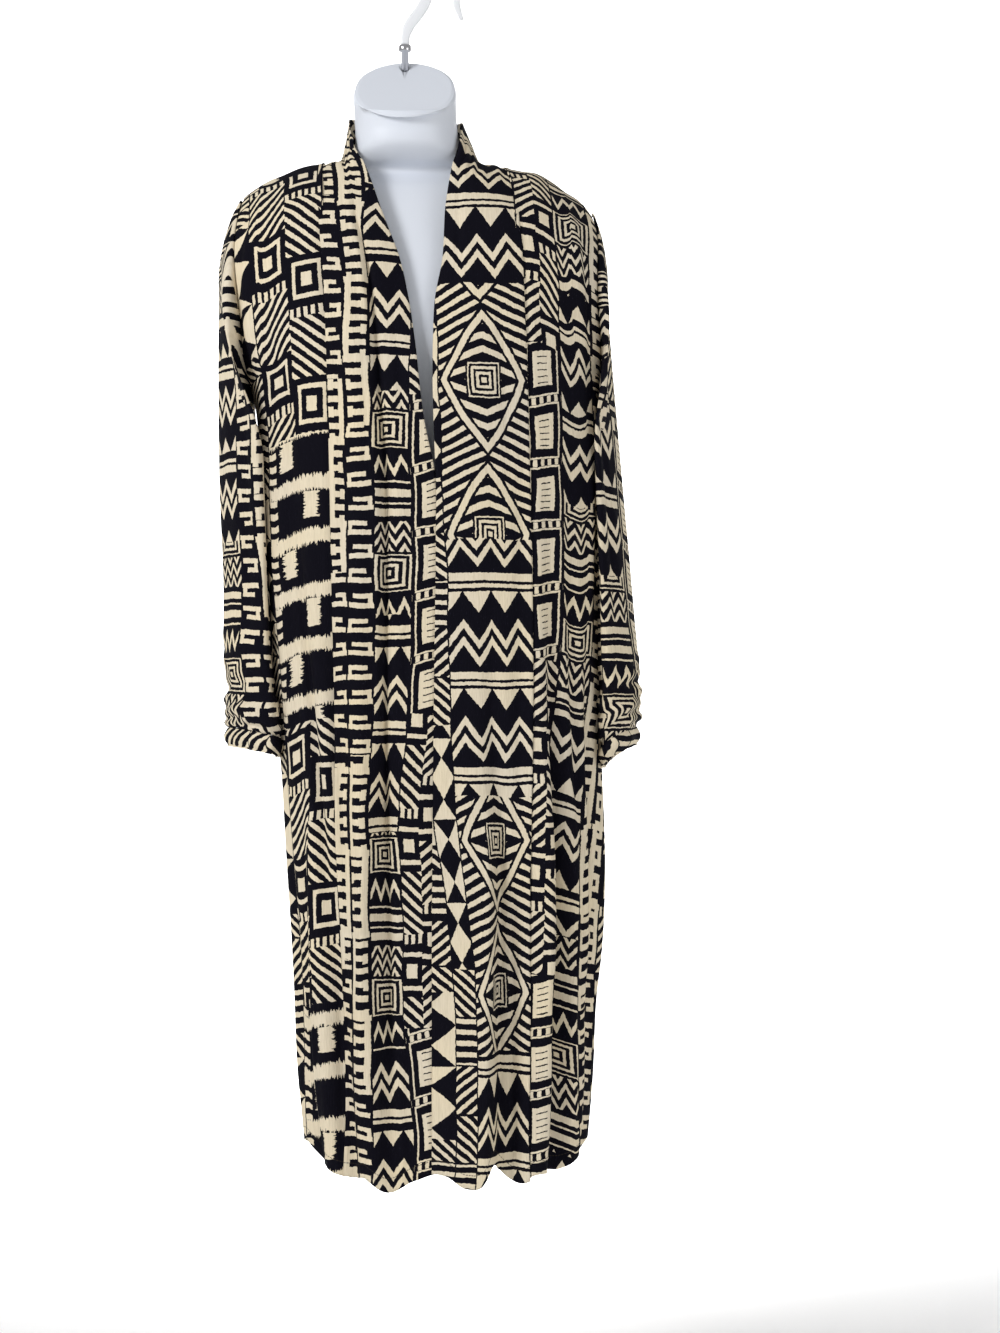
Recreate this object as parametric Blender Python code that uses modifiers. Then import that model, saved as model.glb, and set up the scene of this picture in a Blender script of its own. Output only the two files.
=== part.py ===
"""Kimono coat on a hanging torso form.

Metres, +Z up, front faces -Y. The origin is where a rod bears on the hook's inner top.
Left and right are the viewer's.
"""
import bpy
import numpy as np

for old in list(bpy.data.objects):
    bpy.data.objects.remove(old, do_unlink=True)

MM = 0.001
CLOTH = 1.2 * MM
SEAM_GAP = 0.45 * MM
BAND_GAP = {-1: 0.85 * MM, 1: 1.15 * MM}
RIDGE_GAP = 0.35 * MM
NECK_GAP = 1.3 * MM
SLEEVE_GAP = {-1: 2.7 * MM, 1: 3.0 * MM}
ROW_CROWDING = 0.85
ROUND = 2.4
SHOULDER_ROLL = 85 * MM
RIDGE_Y = 6 * MM
UNDERARM_Z = -487 * MM
SHOULDER_Z = -250 * MM
HEM_Z = -1330 * MM
RIDGE_REACH = 0.1
SETTLING = 8

# trunk outline, in mm: height, left and right silhouette, front and back depth
TRUNK = (
    ("z", "left", "right", "front", "back"),
    (-215, -232, 166, 98, 92),
    (-263, -234, 170, 100, 96),
    (-308, -243, 182, 106, 101),
    (-353, -245, 183, 111, 104),
    (-420, -236, 181, 118, 106),
    (-487, -212, 174, 122, 105),
    (-561, -205, 173.6, 121, 102),
    (-711, -198, 173.6, 116, 100),
    (-823, -188, 173.6, 113, 101),
    (-890, -182, 174.7, 112, 102),
    (-1002, -174, 177, 110, 104),
    (-1092, -167, 174, 109, 107),
    (-1159, -163, 168, 109, 109),
    (-1226, -159, 166, 110, 110),
    (-1294, -152, 161, 111, 111),
    (-1350, -146, 155, 112, 112),
)

# shoulder line seen from the front, in mm
SHOULDER = (
    ("x", "z"),
    (-252, -306),
    (-244, -286),
    (-226, -263),
    (-213, -253),
    (-199, -245),
    (-179, -237),
    (-159, -229),
    (-139, -225),
    (-112, -216),
    (-34, -206),
    (32, -218),
    (63, -228),
    (83, -233),
    (103, -236),
    (130, -253),
    (157, -273),
    (170, -293),
    (181, -314),
)

# armhole, in degrees round from the front centre and from the back centre
ARMHOLE = (
    ("z", "front", "back"),
    (-225, 74, 74),
    (-263, 70, 71),
    (-308, 67, 68),
    (-353, 66, 67),
    (-420, 69, 71),
    (-460, 76, 74.2),
    (-480, 85, 86),
    (-487, 90, 90),
)

# band seams and free edges on the front, in mm
BAND_LINES = (
    ("z", "left_seam", "left_free", "right_free", "right_seam"),
    (-228, -139, -92, 16, 70),
    (-252, -137, -83, 9, 77),
    (-278, -135, -72, 3, 81),
    (-300, -134, -64, 2, 82),
    (-345, -130, -47, 0, 86),
    (-390, -127, -37, -8, 88),
    (-434, -125, -30, -10, 90),
    (-500, -123, -22.5, -10, 92),
    (-545, -122, -16, -8.5, 93),
    (-585, -121, -12, -7, 94),
    (-655, -120, -11, -7, 95),
    (-800, -117, -13, -9, 95),
    (-1000, -113, -15, -11, 93),
    (-1350, -107, -16, -11.5, 90),
)

# hem height across the front and the back, in mm
HEM_FRONT = (
    ("x", "z"),
    (-150, -1309),
    (-138, -1320),
    (-118, -1334),
    (-98, -1339),
    (-74, -1337),
    (-60, -1350),
    (-36, -1340),
    (-13, -1330),
    (4, -1332),
    (26, -1345),
    (42, -1340),
    (52, -1321),
    (64, -1328),
    (82, -1342),
    (100, -1332),
    (126, -1331),
    (144, -1322),
    (158, -1309),
)
HEM_BACK = (
    ("x", "z"),
    (-150, -1309),
    (-110, -1331),
    (-60, -1336),
    (-25, -1329),
    (20, -1337),
    (70, -1330),
    (110, -1333),
    (158, -1309),
)

# soft folds: degrees round from the front centre at the hem, sideways drift going up,
# where each starts, its spread in degrees and how far it stands out in mm
FOLDS = (
    ("at", "drift", "start", "spread", "out"),
    (-78, 4, -700, 9, 7),
    (-62, 6, -540, 8, -8),
    (-49, 7, -480, 8, 9),
    (-38, 6, -620, 6, -10),
    (-27, 4, -560, 8, 11),
    (-13, 2, -760, 6, -6),
    (10, -2, -700, 8, 9),
    (21, -4, -800, 5, -12),
    (34, -5, -500, 8, 11),
    (45, -5, -640, 5, -9),
    (57, -6, -520, 8, 8),
    (73, -3, -740, 7, -7),
    (98, 0, -560, 8, -7),
    (112, 3, -420, 9, 9),
    (130, 4, -520, 8, -9),
    (147, 4, -420, 9, 10),
    (164, 2, -600, 8, -8),
    (180, 0, -400, 10, 9),
    (-163, -2, -560, 8, -9),
    (-146, -4, -440, 9, 9),
    (-128, -4, -560, 8, -9),
    (-111, -3, -460, 9, 8),
    (-96, 0, -620, 7, -7),
)

# collar rows from the chest round to the centre back, in mm: seam, crease and free edge
COLLAR_RIGHT = (
    (77, 0, -256, 39, -76, -251, 9, -72, -241),
    (71, 0, -234, 38, -46, -235, 15, -52, -216),
    (69, 14, -230, 38, -8, -224, 18.5, -24, -190),
    (66, 40, -235, 36, 22, -221, 18, 6, -176),
    (46, 66, -243, 22, 47, -222, 5, 33, -174),
    (10, 78, -249, -4, 60, -225, -14, 44, -176),
    (-38, 82, -251, -38, 65, -226, -38, 49, -178),
)
COLLAR_LEFT = (
    (-137, 0, -256, -107, -74, -253, -84, -70, -240),
    (-138, 0, -233, -110, -46, -232, -98, -50, -214),
    (-136, 14, -228, -114, -8, -220, -104.5, -24, -187),
    (-132, 40, -233, -111, 22, -218, -104, 6, -172),
    (-112, 66, -243, -94, 47, -222, -86, 33, -172),
    (-80, 78, -249, -70, 60, -225, -64, 44, -175),
    (-39.5, 82, -251, -39.5, 65, -226, -39.5, 49, -178),
)

# sleeve rings, in mm: outer point, inner point, reach to the front and to the back
SLEEVE_COLUMNS = ("t", "outer_x", "outer_z", "inner_x", "inner_z", "front", "back")
SLEEVE_RIGHT = (
    (0.00, 165, -282, 174, -488, 70, 74),
    (0.08, 178, -312, 178, -502, 72, 76),
    (0.20, 182, -385, 180, -532, 72, 78),
    (0.34, 189, -478, 180, -582, 70, 80),
    (0.50, 199, -592, 180, -650, 66, 80),
    (0.66, 208, -692, 180, -722, 64, 78),
    (0.80, 215, -778, 178.2, -790, 66, 76),
    (0.90, 218, -820, 179.0, -838, 68, 74),
    (0.96, 217.5, -842, 179.4, -864, 66, 72),
    (1.00, 214, -853, 181, -878, 60, 64),
)
SLEEVE_LEFT = (
    (0.00, -236, -274, -212.5, -488, 70, 74),
    (0.08, -249, -306, -216, -502, 72, 76),
    (0.20, -252.5, -385, -215, -535, 74, 78),
    (0.34, -253, -478, -212, -585, 72, 80),
    (0.50, -252, -590, -208, -648, 68, 80),
    (0.66, -248, -680, -205, -716, 64, 78),
    (0.80, -246, -765, -201.5, -786, 66, 76),
    (0.90, -243.5, -820, -196.2, -834, 68, 74),
    (0.96, -246, -843, -191, -855, 66, 72),
    (1.00, -243, -853, -191, -865, 60, 64),
)
# sleeve creases: place along and round, reach along and round, height in mm
SLEEVE_CREASES = (
    (0.18, 40, 0.16, 16, -3.2),
    (0.30, 85, 0.20, 14, 4),
    (0.34, 130, 0.18, 15, -5),
    (0.55, 60, 0.26, 14, -4),
    (0.58, 105, 0.22, 16, 5),
    (0.40, 230, 0.26, 18, 5),
    (0.60, 270, 0.22, 15, -5),
    (0.50, 315, 0.24, 15, 4),
    (0.80, 35, 0.05, 34, 4),
    (0.84, 120, 0.05, 36, -3),
    (0.87, 70, 0.04, 40, -5),
    (0.90, 165, 0.05, 40, 4),
    (0.92, 40, 0.04, 30, 5),
    (0.84, 235, 0.05, 36, -4),
    (0.90, 290, 0.05, 40, 4),
)
NECK_CENTRE = -34.5 * MM
NECK_HALF = 104.5 * MM
NECK_SCOOP = 45 * MM
CUFF_HEIGHT = 20.5 * MM
CUFF_ROLL = 3 * MM
CUFF_DROP = {-1: 1.6 * MM, 1: 0.7 * MM}
CUFF_PLEAT = 1.1 * MM
CUFF_PLEATS = 11
CUFF_TWIST = 3
SLEEVE_TIP = {-1: -228 * MM, 1: 160 * MM}
SLEEVE_Y = 4 * MM
SLEEVE_BLEND = 0.16
SIDE_BLEND = 0.12
BAND_TOP = -281 * MM
COLLAR_BEND = 0.42
COLLAR_SOFT = 0.12
# lengthwise rolls of the bands: place across, spread, height in mm, lowest and highest z in mm
ROLL_LEFT = ((0.30, 0.16, 8, -1330, -330), (0.52, 0.07, -5, -1250, -330))
ROLL_RIGHT = ((0.55, 0.3, 3, -1330, -330),)
ROLL_FADE = 120 * MM
EDGE_BACK = 10 * MM
EDGE_BACK_Z = -560 * MM
EDGE_BACK_RISE = 200 * MM

# torso form rings, in mm: centre, half width, front and back depth
FORM = (
    ("z", "x", "y", "half", "front", "back"),
    (-932, -11, 0, 92, 56, 56),
    (-926, -11, 0, 116, 74, 72),
    (-908, -12, 0, 134, 84, 82),
    (-870, -14, 0, 146, 90, 86),
    (-800, -17, 0, 150, 92, 86),
    (-720, -20, 0, 140, 88, 78),
    (-630, -23, 0, 122, 82, 70),
    (-560, -26, 0, 128, 86, 72),
    (-500, -28, 0, 143, 96, 76),
    (-450, -30, 0, 154, 100, 80),
    (-400, -32, 0, 163, 96, 83),
    (-350, -33, 0, 174, 88, 84),
    (-310, -34, 0, 178, 79, 80),
    (-285, -35, 0, 176, 70, 70),
    (-268, -36, 1, 170, 62, 60),
    (-256, -37, 2, 162, 54, 52),
    (-247.5, -38, 2, 151, 45, 46),
    (-239.8, -38, 1, 134, 38, 42),
    (-233.8, -39, -4, 106, 35, 40),
    (-227.8, -40, -12, 76, 42, 42),
    (-214, -41, -18, 60, 53, 45),
    (-196, -42, -22, 57, 52, 47),
    (-182, -43, -26, 56.5, 51, 48),
)
CAP_CENTRE = (-43.5 * MM, -34 * MM, -147 * MM)
CAP_HALF = (56.5 * MM, 50 * MM)
CAP_SLOPE = 0.88
CAP_BEVEL = 5 * MM
CAP_HEIGHT = 26 * MM
CAP_SHIFT = 6 * MM
CAP_LIP = 0.8 * MM
FORM_ROUND = 2.15
HOOK_SQUARE = 0.55

HOOK_FOOT = (-44.8 * MM, 0, -89.3 * MM)
# hook path, in mm: centre, half width across the strip, half depth
HOOK = (
    ("t", "x", "z", "across", "deep"),
    (0.00, -44.8, -89.0, 4.6, 3.2),
    (0.07, -44.4, -80.0, 5.2, 3.2),
    (0.16, -39.8, -68.0, 6.0, 3.2),
    (0.26, -30.5, -55.5, 6.3, 3.1),
    (0.36, -22.2, -42.0, 6.2, 3.1),
    (0.46, -17.6, -26.0, 6.0, 3.0),
    (0.56, -15.6, -10.0, 6.0, 3.0),
    (0.63, -10.0, 2.4, 6.0, 3.0),
    (0.69, 0.0, 6.0, 6.0, 3.0),
    (0.75, 9.8, 1.6, 5.6, 3.0),
    (0.82, 13.2, -13.0, 5.0, 3.0),
    (0.89, 12.2, -29.0, 4.6, 2.8),
    (0.95, 13.4, -46.0, 3.8, 2.5),
    (1.00, 19.0, -62.0, 2.2, 1.8),
)
# swivel profile, in mm: radius and height
SWIVEL = ((4.0, -120), (4.0, -98.2), (6.4, -97.4), (6.9, -96.4), (6.9, -91.4), (6.2, -90.2), (3.0, -89.6))
SOCKET_RADIUS = 4.6 * MM
SOCKET_FLOOR = -121 * MM
SOCKET_TOP = -80 * MM

COATS = bpy.data.collections.new("kimono_coat")
bpy.context.scene.collection.children.link(COATS)
CUTTERS = bpy.data.collections.new("cutters")
bpy.context.scene.collection.children.link(CUTTERS)
CUTTERS.hide_render = True


def material(name, colour, roughness, metallic=0.0):
    made = bpy.data.materials.new(name)
    made.use_nodes = True
    shader = made.node_tree.nodes["Principled BSDF"]
    shader.inputs["Base Color"].default_value = (*colour, 1)
    shader.inputs["Roughness"].default_value = roughness
    shader.inputs["Metallic"].default_value = metallic
    return made


def follow(columns, rows, name, at):
    """A named column of a table read smoothly at positions in its first column."""
    table = np.array(rows, float)
    order = np.argsort(table[:, 0])
    place = table[order, 0]
    value = table[order, columns.index(name)]
    slope = np.gradient(value, place)
    at = np.clip(at, place[0], place[-1])
    i = np.clip(np.searchsorted(place, at) - 1, 0, len(place) - 2)
    span = place[i + 1] - place[i]
    t = (at - place[i]) / span
    start = (1 + 2 * t) * (1 - t) ** 2 * value[i] + t * (1 - t) ** 2 * span * slope[i]
    end = t * t * (3 - 2 * t) * value[i + 1] + t * t * (t - 1) * span * slope[i + 1]
    return start + end


def row(table, name, at):
    """The same for a table in mm whose first row names its columns; takes and gives metres."""
    return follow(table[0], table[1:], name, np.asarray(at) / MM) * MM


def signed_power(value, power):
    return np.sign(value) * np.abs(value) ** power


def ease(value):
    value = np.clip(value, 0, 1)
    return value * value * (3 - 2 * value)


def trunk(angle, z):
    """Point of the coat's body at an angle round from the front centre and at a height."""
    left, right = row(TRUNK, "left", z), row(TRUNK, "right", z)
    centre, half = (left + right) / 2, (right - left) / 2
    facing = np.cos(angle)
    depth = np.where(facing >= 0, row(TRUNK, "front", z), row(TRUNK, "back", z))
    x = centre + half * signed_power(np.sin(angle), 2 / ROUND)
    drop = row(SHOULDER, "z", x) - z
    full = np.sqrt(1 - (1 - np.clip(drop / SHOULDER_ROLL, 0, 1)) ** 2)
    y = RIDGE_Y * (1 - full) - depth * signed_power(facing, 2 / ROUND) * full
    turn = np.degrees(angle)
    stand = np.zeros_like(x)
    for at, drift, start, spread, out in FOLDS[1:]:
        grown = ease((start * MM - z) / (start * MM - HEM_Z))
        away = (turn - at - drift * (1 - grown) + 180) % 360 - 180
        stand = stand + out * MM * grown * np.exp(-((away / spread) ** 2))
    return np.stack([x + stand * np.sin(angle), y - stand * facing, z], axis=-1)


def angle_at(x, z):
    """Front angle whose point has this x."""
    left, right = row(TRUNK, "left", z), row(TRUNK, "right", z)
    share = np.clip((x - (left + right) / 2) / ((right - left) / 2), -1, 1)
    return np.arcsin(signed_power(share, ROUND / 2))


def armhole(z, face):
    limit = np.radians(follow(ARMHOLE[0], ARMHOLE[1:], face, z / MM))
    return np.where(z < UNDERARM_Z, np.pi / 2, limit)


def crowded(rows):
    """Row places from the shoulder to the hem, closer together at the shoulder."""
    t = np.linspace(0, 1, rows)
    return t * (1 - ROW_CROWDING * (1 - t) ** 6)


def front_panel(side, columns, rows):
    """Grid of a front panel from its band seam to its side seam and armhole."""
    s = np.linspace(0, 1, columns)[None, :]
    t = crowded(rows)[:, None]
    t = t + 0 * s
    s = s + 0 * t
    seam = "right_seam" if side > 0 else "left_seam"

    def angles(z):
        start = angle_at(row(BAND_LINES, seam, z) + side * BAND_GAP[side], z)
        return start + (side * armhole(z, "front") - start) * s

    def at_line(line, z):
        for _ in range(SETTLING):
            z = row(line, "z", trunk(angles(z), z)[..., 0])
        return z

    top = at_line(SHOULDER, np.full_like(s, SHOULDER_Z))
    hem = at_line(HEM_FRONT, np.full_like(s, HEM_Z))
    z = top + (hem - top) * t
    points = trunk(angles(z), z)
    points[..., 1] -= SEAM_GAP / 2 + RIDGE_GAP * (1 - ease(t / RIDGE_REACH))
    return points


def back_neckline(x):
    """Back panel's top edge: the shoulder line, with a scoop that the band is sewn to."""
    share = np.clip(np.abs(x - NECK_CENTRE) / NECK_HALF, 0, 1)
    return row(SHOULDER, "z", x) - NECK_SCOOP * (1 - share ** 2) ** 0.75


def back_panel(columns, rows):
    s = np.linspace(0, 1, columns)[None, :]
    t = crowded(rows)[:, None]
    t = t + 0 * s
    s = s + 0 * t

    def angles(z):
        reach = armhole(z, "back")
        return np.pi + reach - 2 * reach * s

    z = np.full_like(s, SHOULDER_Z)
    for _ in range(SETTLING):
        z = back_neckline(trunk(angles(z), z)[..., 0])
    top = z
    z = np.full_like(s, HEM_Z)
    for _ in range(SETTLING):
        z = row(HEM_BACK, "z", trunk(angles(z), z)[..., 0])
    z = top + (z - top) * t
    points = trunk(angles(z), z)
    points[..., 1] += SEAM_GAP / 2 + RIDGE_GAP * (1 - ease(t / RIDGE_REACH))
    return points


def band(side, across, rows_front, rows_collar):
    """Grid of a front band: up the front from the hem, then the collar rows to the centre back."""
    names = ("right_seam", "right_free") if side > 0 else ("left_seam", "left_free")
    collar = COLLAR_RIGHT if side > 0 else COLLAR_LEFT
    w = np.linspace(0, 1, across)[None, :]
    t = np.linspace(0, 1, rows_front)[:, None]
    w, t = w + 0 * t, t + 0 * w
    z = np.full_like(w, HEM_Z)
    for _ in range(SETTLING):
        x = row(BAND_LINES, names[0], z) * (1 - w) + row(BAND_LINES, names[1], z) * w
        z = row(HEM_FRONT, "z", x)
    foot = z
    z = foot + (BAND_TOP - foot) * t
    x = row(BAND_LINES, names[0], z) * (1 - w) + row(BAND_LINES, names[1], z) * w
    front = trunk(angle_at(x, z), z)
    roll = ROLL_LEFT if side < 0 else ROLL_RIGHT
    for at, spread, out, low, high in roll:
        reach = ease((z - low * MM) / ROLL_FADE) * ease((high * MM - z) / ROLL_FADE)
        front[..., 1] -= out * MM * reach * np.exp(-(((w - at) / spread) ** 2))
    front[..., 1] -= SEAM_GAP / 2
    open_part = ease((z - EDGE_BACK_Z) / EDGE_BACK_RISE)
    front[..., 1] += open_part * EDGE_BACK * w ** 3
    guides = np.array(collar, float) * MM
    for line in guides[:2]:
        line[1] = trunk(angle_at(line[0], line[2]), line[2])[1] - SEAM_GAP / 2
    for line in guides[3:]:
        height = back_neckline(line[0])
        line[:3] = trunk(np.pi - angle_at(line[0], height), height) + [0, SEAM_GAP / 2, NECK_GAP]
    u = np.linspace(0, len(guides) - 1, rows_collar)
    slope = np.gradient(guides, axis=0)
    i = np.clip(u.astype(int), 0, len(guides) - 2)
    f = (u - i)[:, None]
    smooth = (1 + 2 * f) * (1 - f) ** 2 * guides[i] + f * (1 - f) ** 2 * slope[i]
    smooth = smooth + f * f * (3 - 2 * f) * guides[i + 1] + f * f * (f - 1) * slope[i + 1]
    seam, crease, free = (smooth[:, None, 3 * n : 3 * n + 3] for n in range(3))
    v = np.linspace(0, 1, across)[None, :, None]
    lower = seam + (crease - seam) * (v / COLLAR_BEND)
    upper = crease + (free - crease) * ((v - COLLAR_BEND) / (1 - COLLAR_BEND))
    soft = ease((v - COLLAR_BEND + COLLAR_SOFT) / (2 * COLLAR_SOFT))
    stand = lower * (1 - soft) + upper * soft
    return np.concatenate([front, stand], axis=0)


def sleeve(side, around, along):
    """Rings from the armhole down to the cuff; angle 0 is the shoulder, 180 the underarm."""
    rows = SLEEVE_RIGHT if side > 0 else SLEEVE_LEFT
    t = np.linspace(0, 1, along)[:, None]
    turn = np.linspace(0, 2 * np.pi, around, endpoint=False)[None, :]
    t, turn = t + 0 * turn, turn + 0 * t
    get = {name: follow(SLEEVE_COLUMNS, rows, name, t) * MM for name in SLEEVE_COLUMNS[1:]}
    facing = np.sin(turn)
    reach = np.where(facing >= 0, get["front"], get["back"])
    mid = (1 + np.cos(turn)) / 2
    x = get["inner_x"] + (get["outer_x"] - get["inner_x"]) * mid
    z = get["inner_z"] + (get["outer_z"] - get["inner_z"]) * mid
    y = SLEEVE_Y - reach * facing
    stand = np.zeros_like(x)
    degrees = np.degrees(turn)
    for at_t, at_turn, long, wide, out in SLEEVE_CREASES:
        away = (degrees - at_turn + 180) % 360 - 180
        stand = stand + out * MM * np.exp(-(((t - at_t) / long) ** 2) - (away / wide) ** 2)
    tube = np.stack([x + side * stand * np.cos(turn), y - stand * facing, z], axis=-1)
    tip = row(SHOULDER, "z", SLEEVE_TIP[side])
    hole_z = UNDERARM_Z + (tip - UNDERARM_Z) * mid
    front = trunk(side * armhole(hole_z, "front"), hole_z)
    back = trunk(np.pi - side * armhole(hole_z, "back"), hole_z)
    share = ease((facing + SIDE_BLEND) / (2 * SIDE_BLEND))[..., None]
    hole = back + (front - back) * share
    hole[..., 0] += side * SLEEVE_GAP[side]
    blend = ease(t / SLEEVE_BLEND)[..., None]
    return hole + (tube - hole) * blend


def cuff(side, around, along):
    """A narrow turned band below the sleeve's blousing."""
    rows = SLEEVE_RIGHT if side > 0 else SLEEVE_LEFT
    last = dict(zip(SLEEVE_COLUMNS, rows[-1]))
    t = np.linspace(0, 1, along)[:, None]
    turn = np.linspace(0, 2 * np.pi, around, endpoint=False)[None, :]
    t, turn = t + 0 * turn, turn + 0 * t
    facing = np.sin(turn)
    mid = (1 + np.cos(turn)) / 2
    swell = CUFF_ROLL * np.sin(np.pi * np.clip(t * 1.15, 0, 1))
    reach = np.where(facing >= 0, last["front"], last["back"]) * MM + swell
    x = (last["inner_x"] + (last["outer_x"] - last["inner_x"]) * mid) * MM
    x = x + side * swell * np.cos(turn)
    z = (last["inner_z"] + (last["outer_z"] - last["inner_z"]) * mid) * MM - CUFF_DROP[side] - CUFF_HEIGHT * t
    pleat = CUFF_PLEAT * np.sin(turn * CUFF_PLEATS + CUFF_TWIST * t) * np.sin(np.pi * t)
    return np.stack([x + side * pleat * np.cos(turn), SLEEVE_Y - (reach + pleat) * facing, z], axis=-1)


def mesh_object(name, points, look, around=False, ends=False):
    """A grid of points made one object, closed round when it is a tube."""
    rows, columns = points.shape[:2]
    index = np.arange(rows * columns).reshape(rows, columns)
    if around:
        index = np.concatenate([index, index[:, :1]], axis=1)
    faces = np.stack([index[:-1, :-1], index[:-1, 1:], index[1:, 1:], index[1:, :-1]], axis=-1).reshape(-1, 4)
    faces = faces.tolist()
    if ends:
        faces.append(index[0, :-1][::-1].tolist())
        faces.append(index[-1, :-1].tolist())
    mesh = bpy.data.meshes.new(name)
    mesh.from_pydata(points.reshape(-1, 3).tolist(), [], faces)
    mesh.polygons.foreach_set("use_smooth", [True] * len(mesh.polygons))
    mesh.materials.append(look)
    made = bpy.data.objects.new(name, mesh)
    COATS.objects.link(made)
    return made


def facing_out(points, centre):
    """True when the grid's own normals point away from the centre."""
    a = points[1:-1, 2:] - points[1:-1, :-2]
    b = points[2:, 1:-1] - points[:-2, 1:-1]
    normal = np.cross(a, b)
    return np.einsum("ijk,ijk->", normal, points[1:-1, 1:-1] - centre) > 0


def cloth(name, points, look, around=False):
    """A grid given the cloth's thickness, built inwards."""
    centre = np.array([-0.02, 0, -0.6]) if not around else points.mean(axis=(0, 1))
    if facing_out(points * [1, 1, 0], centre * [1, 1, 0]):
        points = points[:, ::-1]
    made = mesh_object(name, points, look, around)
    wall = made.modifiers.new("wall", "SOLIDIFY")
    wall.thickness = CLOTH
    wall.offset = -1
    wall.use_even_offset = True
    return made


def ring(z, x, y, half, front, back, around, slope=0.0):
    turn = np.linspace(0, 2 * np.pi, around, endpoint=False)
    side = np.cos(turn)
    facing = np.sin(turn)
    depth = np.where(facing < 0, front, back)
    px = x + half * signed_power(side, 2 / FORM_ROUND)
    py = y + depth * signed_power(facing, 2 / FORM_ROUND)
    return np.stack([px, py, z + slope * (py - y)], axis=-1)


def torso_form(look, around=28):
    rings = []
    for z, x, y, half, front, back in FORM[1:]:
        rings.append(ring(z * MM, x * MM, y * MM, half * MM, front * MM, back * MM, around))
    cx, cy, cz = CAP_CENTRE
    hx, hy = CAP_HALF
    for share, inset in ((0.45, 0.0), (0.8, 0.0), (0.97, 0.3), (1.0, 1.0)):
        drop = (1 - share) * CAP_HEIGHT
        trim = CAP_BEVEL * inset
        centre = cz - drop - (CAP_LIP if inset < 1 else 0)
        lean = cy + (1 - share) * CAP_SHIFT
        rings.append(ring(centre, cx, lean, hx - trim, hy - trim, hy - trim, around, CAP_SLOPE * share))
    made = mesh_object("torso_form", np.array(rings), look, around=True, ends=True)
    cutter_mesh = bpy.data.meshes.new("socket_cutter")
    turn = np.linspace(0, 2 * np.pi, 20, endpoint=False)
    loops = []
    for z in (SOCKET_FLOOR, SOCKET_TOP):
        loops += [(HOOK_FOOT[0] + SOCKET_RADIUS * np.cos(a), SOCKET_RADIUS * np.sin(a), z) for a in turn]
    n = len(turn)
    faces = [(i, (i + 1) % n, n + (i + 1) % n, n + i) for i in range(n)]
    faces.append(tuple(range(n))[::-1])
    faces.append(tuple(range(n, 2 * n)))
    cutter_mesh.from_pydata(loops, [], faces)
    cutter = bpy.data.objects.new("socket_cutter", cutter_mesh)
    CUTTERS.objects.link(cutter)
    cutter.hide_render = True
    cut = made.modifiers.new("socket", "BOOLEAN")
    cut.object = cutter
    cut.operation = "DIFFERENCE"
    cut.solver = "EXACT"
    return made


def swivel(look):
    turn = np.linspace(0, 2 * np.pi, 24, endpoint=False)
    rings = []
    for radius, z in SWIVEL:
        rings.append([(HOOK_FOOT[0] + radius * MM * np.cos(a), radius * MM * np.sin(a), z * MM) for a in turn])
    return mesh_object("hook_swivel", np.array(rings), look, around=True, ends=True)


def hook(look, along=30, around=12):
    t = np.linspace(0, 1, along)
    rings = []
    turn = np.linspace(0, 2 * np.pi, around, endpoint=False)
    path = np.stack([follow(HOOK[0], HOOK[1:], "x", t), follow(HOOK[0], HOOK[1:], "z", t)], axis=-1) * MM
    tangent = np.gradient(path, axis=0)
    tangent /= np.linalg.norm(tangent, axis=1)[:, None]
    across = follow(HOOK[0], HOOK[1:], "across", t) * MM
    deep = follow(HOOK[0], HOOK[1:], "deep", t) * MM
    for (x, z), (tx, tz), wide, thick in zip(path, tangent, across, deep):
        u = wide * signed_power(np.cos(turn), HOOK_SQUARE)
        v = thick * signed_power(np.sin(turn), HOOK_SQUARE)
        rings.append(np.stack([x + u * tz, v, z - u * tx], axis=-1))
    return mesh_object("hook", np.array(rings), look, around=True, ends=True)


CREPE_LEFT = material("crepe_print_front_left", (0.40, 0.36, 0.27), 0.85)
CREPE_RIGHT = material("crepe_print_front_right", (0.41, 0.37, 0.28), 0.85)
CREPE_BACK = material("crepe_print_back", (0.40, 0.36, 0.27), 0.85)
CREPE_BAND_LEFT = material("crepe_print_band_left", (0.44, 0.40, 0.30), 0.85)
CREPE_BAND_RIGHT = material("crepe_print_band_right", (0.45, 0.41, 0.31), 0.85)
CREPE_SLEEVE_LEFT = material("crepe_print_sleeve_left", (0.36, 0.33, 0.25), 0.85)
CREPE_SLEEVE_RIGHT = material("crepe_print_sleeve_right", (0.36, 0.33, 0.25), 0.85)
CREPE_CUFF_LEFT = material("crepe_print_cuff_left", (0.32, 0.29, 0.22), 0.85)
CREPE_CUFF_RIGHT = material("crepe_print_cuff_right", (0.32, 0.29, 0.22), 0.85)
FORM_PLASTIC = material("white_plastic_form", (0.80, 0.85, 0.92), 0.38)
HOOK_PLASTIC = material("white_plastic_hook", (0.86, 0.88, 0.90), 0.35)
CHROME = material("plated_swivel", (0.62, 0.62, 0.64), 0.18, 1.0)

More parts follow.
